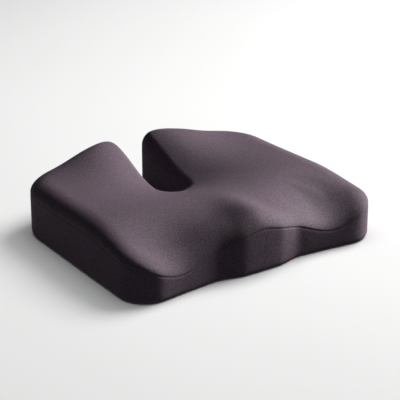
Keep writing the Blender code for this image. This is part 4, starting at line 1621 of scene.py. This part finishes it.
@dataclass
class ZipPull:
    """Pull tab: an eye round the bridge, whose end bar is the hinge, and a paddle with a slot."""

    place: WallFrame
    finish: bpy.types.Material
    length: float = 25.0 * MM
    eye_half: float = 2.7 * MM
    paddle_half: float = 3.5 * MM
    thickness: float = 1.2 * MM
    bar: float = 0.6 * MM
    rim: float = 0.3 * MM
    eye_hole: tuple[float, float] = (3.7 * MM, 2.6 * MM)
    eye_corner: float = 0.5 * MM
    slot: tuple[float, float] = (4.0 * MM, 2.4 * MM)
    slot_corner: float = 1.15 * MM
    shoulder: tuple[float, float] = (4.6 * MM, 9.0 * MM)
    tail: tuple[float, float] = (2.6 * MM, 0.45)
    nose: tuple[float, float] = (0.9 * MM, 0.7)

    def build(self) -> None:
        """Build the plate with its two holes."""
        eye = rounded_box(*self.eye_hole, self.eye_corner, 4) - [self.bar + self.eye_hole[0] / 2, 0.0]
        slot = rounded_box(*self.slot, self.slot_corner, 5) - [self.length - self.paddle_half, 0.0]
        loops = [self._outline(), eye[::-1], slot[::-1]]
        points, faces = plate(loops, -self.thickness / 2, self.thickness / 2, self.rim)
        piece = make_mesh("zip_pull_tab", self.place.put(points), faces)
        settle(piece, Body.PULL, Slot.METAL, self.finish, "zip_pull")

    def _outline(self) -> Array:
        """Half width along the pull: the eye, an easy shoulder, the paddle, both ends rounded."""
        run = np.linspace(-1.0, 1.0, 61)
        middle = (self.bar - self.length) / 2
        reach = (self.bar + self.length) / 2
        x = middle + reach * np.sin(run * math.pi / 2)
        width = self.eye_half + (self.paddle_half - self.eye_half) * ease(*self.shoulder, -x)
        tail = end_width(x + self.length, *self.tail)
        nose = end_width(self.bar - x, *self.nose)
        return plate_outline(x, width * tail * nose)


@dataclass
class ZipClosure:
    """The whole zip in the right wall: fabric strips and tabs, stitches, tapes, coils, slider."""

    cushion: Cushion
    fabric: bpy.types.Material
    thread: bpy.types.Material
    tape: bpy.types.Material
    nylon: bpy.types.Material
    metal: bpy.types.Material
    tab_thickness: float = COVER_CLOTH
    tab_spread: float = 0.5 * MM
    tab_corner: float = 0.4 * MM
    tab_rim: float = 0.8 * MM
    stitch_pitch: float = 3.6 * MM
    stitch_length: float = 2.9 * MM
    stitch_radius: float = 0.30 * MM
    stitch_from_edge: float = 3.4 * MM
    stitch_past_tape: float = 8.0 * MM

    def build(self, start: float, stop: float) -> None:
        """Build everything between two columns of the wall.

        Args:
            start: Column of the front end of the window.
            stop: Column of its rear end.
        """
        place = WallFrame.of_zip()
        low, high = ZIP_WINDOW
        shared = (self.cushion, self.fabric, start, stop)
        SideBand("zip_strip_below", "zip_strip_lower", *shared, high=low).build()
        SideBand("zip_strip_above", "zip_strip_upper", *shared, low=high).build()
        box_low, box_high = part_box("zip_tape_upper")
        length = float(box_high[1] - box_low[1]) / float(place.along[1])
        for side in Side:
            ZipTape(side, place, length, self.tape).build()
            ZipCoil(side, place, length, self.nylon).build()
        for name in ("front", "rear"):
            self._tab(name, place)
        self._stitches(place, length)
        pivot = WallFrame(np.array(joint("pull_hinge")["pos_m"]), place.along)
        out = float((pivot.origin - place.origin) @ place.axes[2])
        ZipSlider(pivot.moved(0.0, -out), self.metal).build()
        ZipPull(pivot, self.metal).build()

    def _tab(self, name: str, place: WallFrame) -> None:
        """Folded fabric tab over one end of the chain, a plate with soft rims."""
        node = f"zip_tab_{name}"
        low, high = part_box(node)
        width = float(high[1] - low[1]) / float(place.along[1]) + self.tab_spread
        outline = rounded_box(width, float(high[2] - low[2]) + self.tab_spread, self.tab_corner, 4)
        points, faces = plate([outline], -self.tab_thickness, 0.0, self.tab_rim)
        points[:, 0] += float((box_middle(node) - place.origin) @ place.axes[0])
        piece = make_mesh(f"zip_end_tab_{name}", place.put(points), faces, points[:, :2])
        settle(piece, Body.CUSHION, Slot.COVER, self.fabric, node)

    def _stitches(self, place: WallFrame, length: float) -> None:
        """A row of stitches above the window and one below it, on past the ends of the tapes."""
        points, faces = stitch_shape(self.stitch_length, self.stitch_radius)
        half = length / 2 + self.stitch_past_tape
        run = np.arange(-half, half, self.stitch_pitch)
        height = (ZIP_WINDOW[1] - ZIP_WINDOW[0]) / 2 + self.stitch_from_edge
        spots = [np.stack([run, np.full(len(run), side.value * height), 0 * run], axis=1) for side in Side]
        places = np.concatenate(spots)
        frames = np.broadcast_to(place.axes, (len(places), 3, 3))
        points, faces = repeat_shape(points, faces, place.put(places), frames)
        piece = make_mesh("zip_stitching", points, faces)
        settle(piece, Body.CUSHION, Slot.COVER, self.thread)


@dataclass
class CareLabel:
    """Blank woven satin label, caught in the seam and hanging a little away from the wall."""

    cushion: Cushion
    finish: bpy.types.Material
    width: float = 26.0 * MM
    height: float = 18.0 * MM
    thickness: float = 0.35 * MM
    stand: float = 0.6 * MM
    curl: float = 1.6 * MM
    wave: tuple[float, float, float] = (0.35 * MM, 4.2 * MM, 0.6)
    seam_gap: float = 0.3 * MM
    rows: int = 19
    columns: int = 25

    def build(self) -> None:
        """Follow the wall at a distance of stand + curl t^2 + wave t, t from the seam down.

        The wave runs across the label: a height, a length and a phase.
        """
        cushion, plan = self.cushion, self.cushion.plan
        centre = plan.column_at(box_middle("care_label"))
        middle = float(plan.length_at(np.array([centre]))[0])
        across = np.linspace(-self.width / 2, self.width / 2, self.columns)
        down = np.linspace(1.0, 0.0, self.rows)
        columns = np.broadcast_to(plan.columns_of(middle + across), (self.rows, self.columns))
        top = cushion.seam_height(columns) - self.seam_gap
        stations = cushion.wall_station(columns, top - self.height * down[:, None])
        rise, length, phase = self.wave
        away = self.stand + self.curl * down[:, None] ** 2
        away = away + rise * down[:, None] * np.sin(across / length + phase)
        sheets = [
            cushion.skin(columns, stations, -(away + lift)).reshape(-1, 3)
            for lift in (self.thickness, 0.0)
        ]
        index = np.arange(columns.size).reshape(columns.shape)
        points, faces = thicken(*sheets, grid_quads(index, False))
        x, y = np.meshgrid(across, self.height * (1 - down))
        cloth = np.stack([x, y], axis=-1).reshape(-1, 2)
        piece = make_mesh("blank_care_label", points, faces, np.tile(cloth, (2, 1)))
        settle(piece, Body.CUSHION, Slot.LABEL, self.finish, "care_label")


# ---------------------------------------------------------------- floor, light and camera


def heading(azimuth: float, elevation: float) -> Vector:
    """Unit vector to a place on a sphere, in degrees from +X anticlockwise and from level."""
    turn, rise = math.radians(azimuth), math.radians(elevation)
    return Vector((math.cos(turn) * math.cos(rise), math.sin(turn) * math.cos(rise), math.sin(rise)))


@dataclass(frozen=True)
class SoftBox:
    """One round soft light: its place round the cushion, its diameter, power and colour."""

    name: str
    azimuth: float
    elevation: float
    distance: float
    size: float
    power: float
    tint: str

    def build(self, receivers: bpy.types.Collection) -> None:
        """Make the light; azimuth 0 is the cushion's right, and it faces the cushion.

        Args:
            receivers: What it lights.
        """
        out = heading(self.azimuth, self.elevation)
        light = bpy.data.lights.new(self.name, "AREA")
        light.shape = "DISK"
        light.size = self.size
        light.energy = self.power
        light.color = colour(self.tint)[:3]
        lamp = bpy.data.objects.new(self.name, light)
        lamp.location = out * self.distance
        lamp.rotation_euler = (-out).to_track_quat("-Z", "Y").to_euler()
        bpy.context.scene.collection.objects.link(lamp)
        lamp.light_linking.receiver_collection = receivers


@dataclass
class Studio:
    """Pale seamless floor, a low soft key light from the right, its own lights for the floor.

    The camera's azimuth counts from the cushion's front, anticlockwise seen from above.
    """

    target: tuple[float, float, float] = (0.0268, 0.0154, 0.0400)
    distance: float = 2.4239
    azimuth: float = -35.15
    elevation: float = 22.45
    lens: float = 138.97
    sensor: float = 36.0
    floor_reach: float = 4.0
    key: SoftBox = SoftBox("key_light", -3.0, 21.5, 3.2, 1.6, 290.0, "#fffcf9")
    fill: SoftBox = SoftBox("fill_light", -135.0, 35.0, 2.5, 1.6, 0.4, "#f2f5ff")
    floor_key: SoftBox = SoftBox("floor_key_light", 1.0, 47.0, 3.2, 2.1, 98.0, "#fffdfa")
    floor_top: SoftBox = SoftBox("floor_top_light", 0.0, 90.0, 2.2, 2.4, 25.0, "#fffefb")
    sky: str = "#eef1f5"
    sky_strength: float = 0.08

    def build(self) -> None:
        """Make the floor, the lights and the camera round the finished cushion."""
        subject = bpy.data.collections.new("subject")
        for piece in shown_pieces():
            subject.objects.link(piece)
        ground = bpy.data.collections.new("ground")
        ground.objects.link(self._floor())
        for light in (self.key, self.fill):
            light.build(subject)
        for light in (self.floor_key, self.floor_top):
            light.build(ground)
        scene = bpy.context.scene
        world = bpy.data.worlds.new("studio")
        world.use_nodes = True
        background = world.node_tree.nodes["Background"]
        background.inputs["Color"].default_value = colour(self.sky)
        background.inputs["Strength"].default_value = self.sky_strength
        scene.world = world
        scene.view_settings.view_transform = "Standard"
        self._camera()

    def _floor(self) -> bpy.types.Object:
        """A flat square, some metres each way, that throws no light back on the cushion."""
        corners = self.floor_reach * np.array([(-1, -1, 0), (1, -1, 0), (1, 1, 0), (-1, 1, 0)], float)
        floor = make_mesh("studio_floor", corners, np.array([[0, 1, 2, 3]]))
        floor.data.materials.append(StudioPaper().make())
        floor.visible_diffuse = False
        floor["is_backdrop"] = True
        return floor

    def _camera(self) -> None:
        """Camera on a sphere round its target."""
        back = heading(self.azimuth - 90.0, self.elevation)
        lens = bpy.data.cameras.new("camera")
        lens.lens = self.lens
        lens.sensor_width = self.sensor
        eye = bpy.data.objects.new("camera", lens)
        eye.location = Vector(self.target) + back * self.distance
        eye.rotation_euler = (-back).to_track_quat("-Z", "Y").to_euler()
        bpy.context.scene.collection.objects.link(eye)
        bpy.context.scene.camera = eye


def main() -> None:
    """Build every sub-assembly in order."""
    logging.basicConfig(level=logging.INFO, format="%(name)s %(message)s")
    cushion = Cushion()
    RelaxedCover(cushion).run()
    plan = cushion.plan
    knit = KnitFabric("polyester knit, aubergine", "#4b3d49", "#645563").make()
    grip = KnitFabric("polyester anti-slip cloth, charcoal", "#2c292d", "#3a373b", sheen=0.1).make()
    sock = KnitFabric("polyester liner knit, off-white", "#c9c6c1", "#dbd8d3", sheen=0.15).make()
    thread = MouldedPolymer(
        "polyester sewing thread, aubergine", "#3d333b", "#584b55", 0.5 * MM, 0.05 * MM, 0.6).make()
    rubber = MouldedPolymer(
        "printed silicone, charcoal", "#1d1c1e", "#29272a", 1.5 * MM, 0.05 * MM, 0.45, 1.41).make()
    foam = MouldedPolymer(
        "slow-recovery polyurethane foam", "#d9cfae", "#ece4c9", 1.1 * MM, 0.4 * MM, 0.9).make()
    nylon = MouldedPolymer(
        "drawn nylon monofilament, black", "#17151a", "#26232a", 0.8 * MM, 0.02 * MM, 0.35, 1.53).make()
    tape = WovenTape("woven polyester tape, black", "#171519", "#2b272e").make()
    satin = WovenTape("woven satin ribbon, white", "#d3d2cf", "#e9e8e5", 0.5 * MM, 40.0 * MM, 0.45).make()

    SeatPanel(cushion, knit).build()
    zip_low, zip_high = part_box("zip_strip_lower")
    front = plan.column_at((zip_high[0], zip_low[1]))
    rear = plan.column_at((zip_low[0] + REAR_END_OUT, zip_high[1]))
    band_low, band_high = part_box("band_cutout")
    mouth = plan.column_at((band_low[0], band_high[1]))
    SideBand("side_band_outer", "band_outer", cushion, knit, mouth - plan.columns, front).build()
    SideBand("side_band_rear", "band_cutout", cushion, knit, rear, mouth).build()
    ZipClosure(cushion, knit, thread, tape, nylon, PlatedZinc().make()).build(front, rear)
    Underside(cushion, grip, rubber).build()
    block = FoamAndLiner(cushion, foam, sock, (float(zip_low[1]), float(zip_high[1]))).build()
    CareLabel(cushion, satin).build()
    Studio().build()


if __name__ == "__main__":
    main()
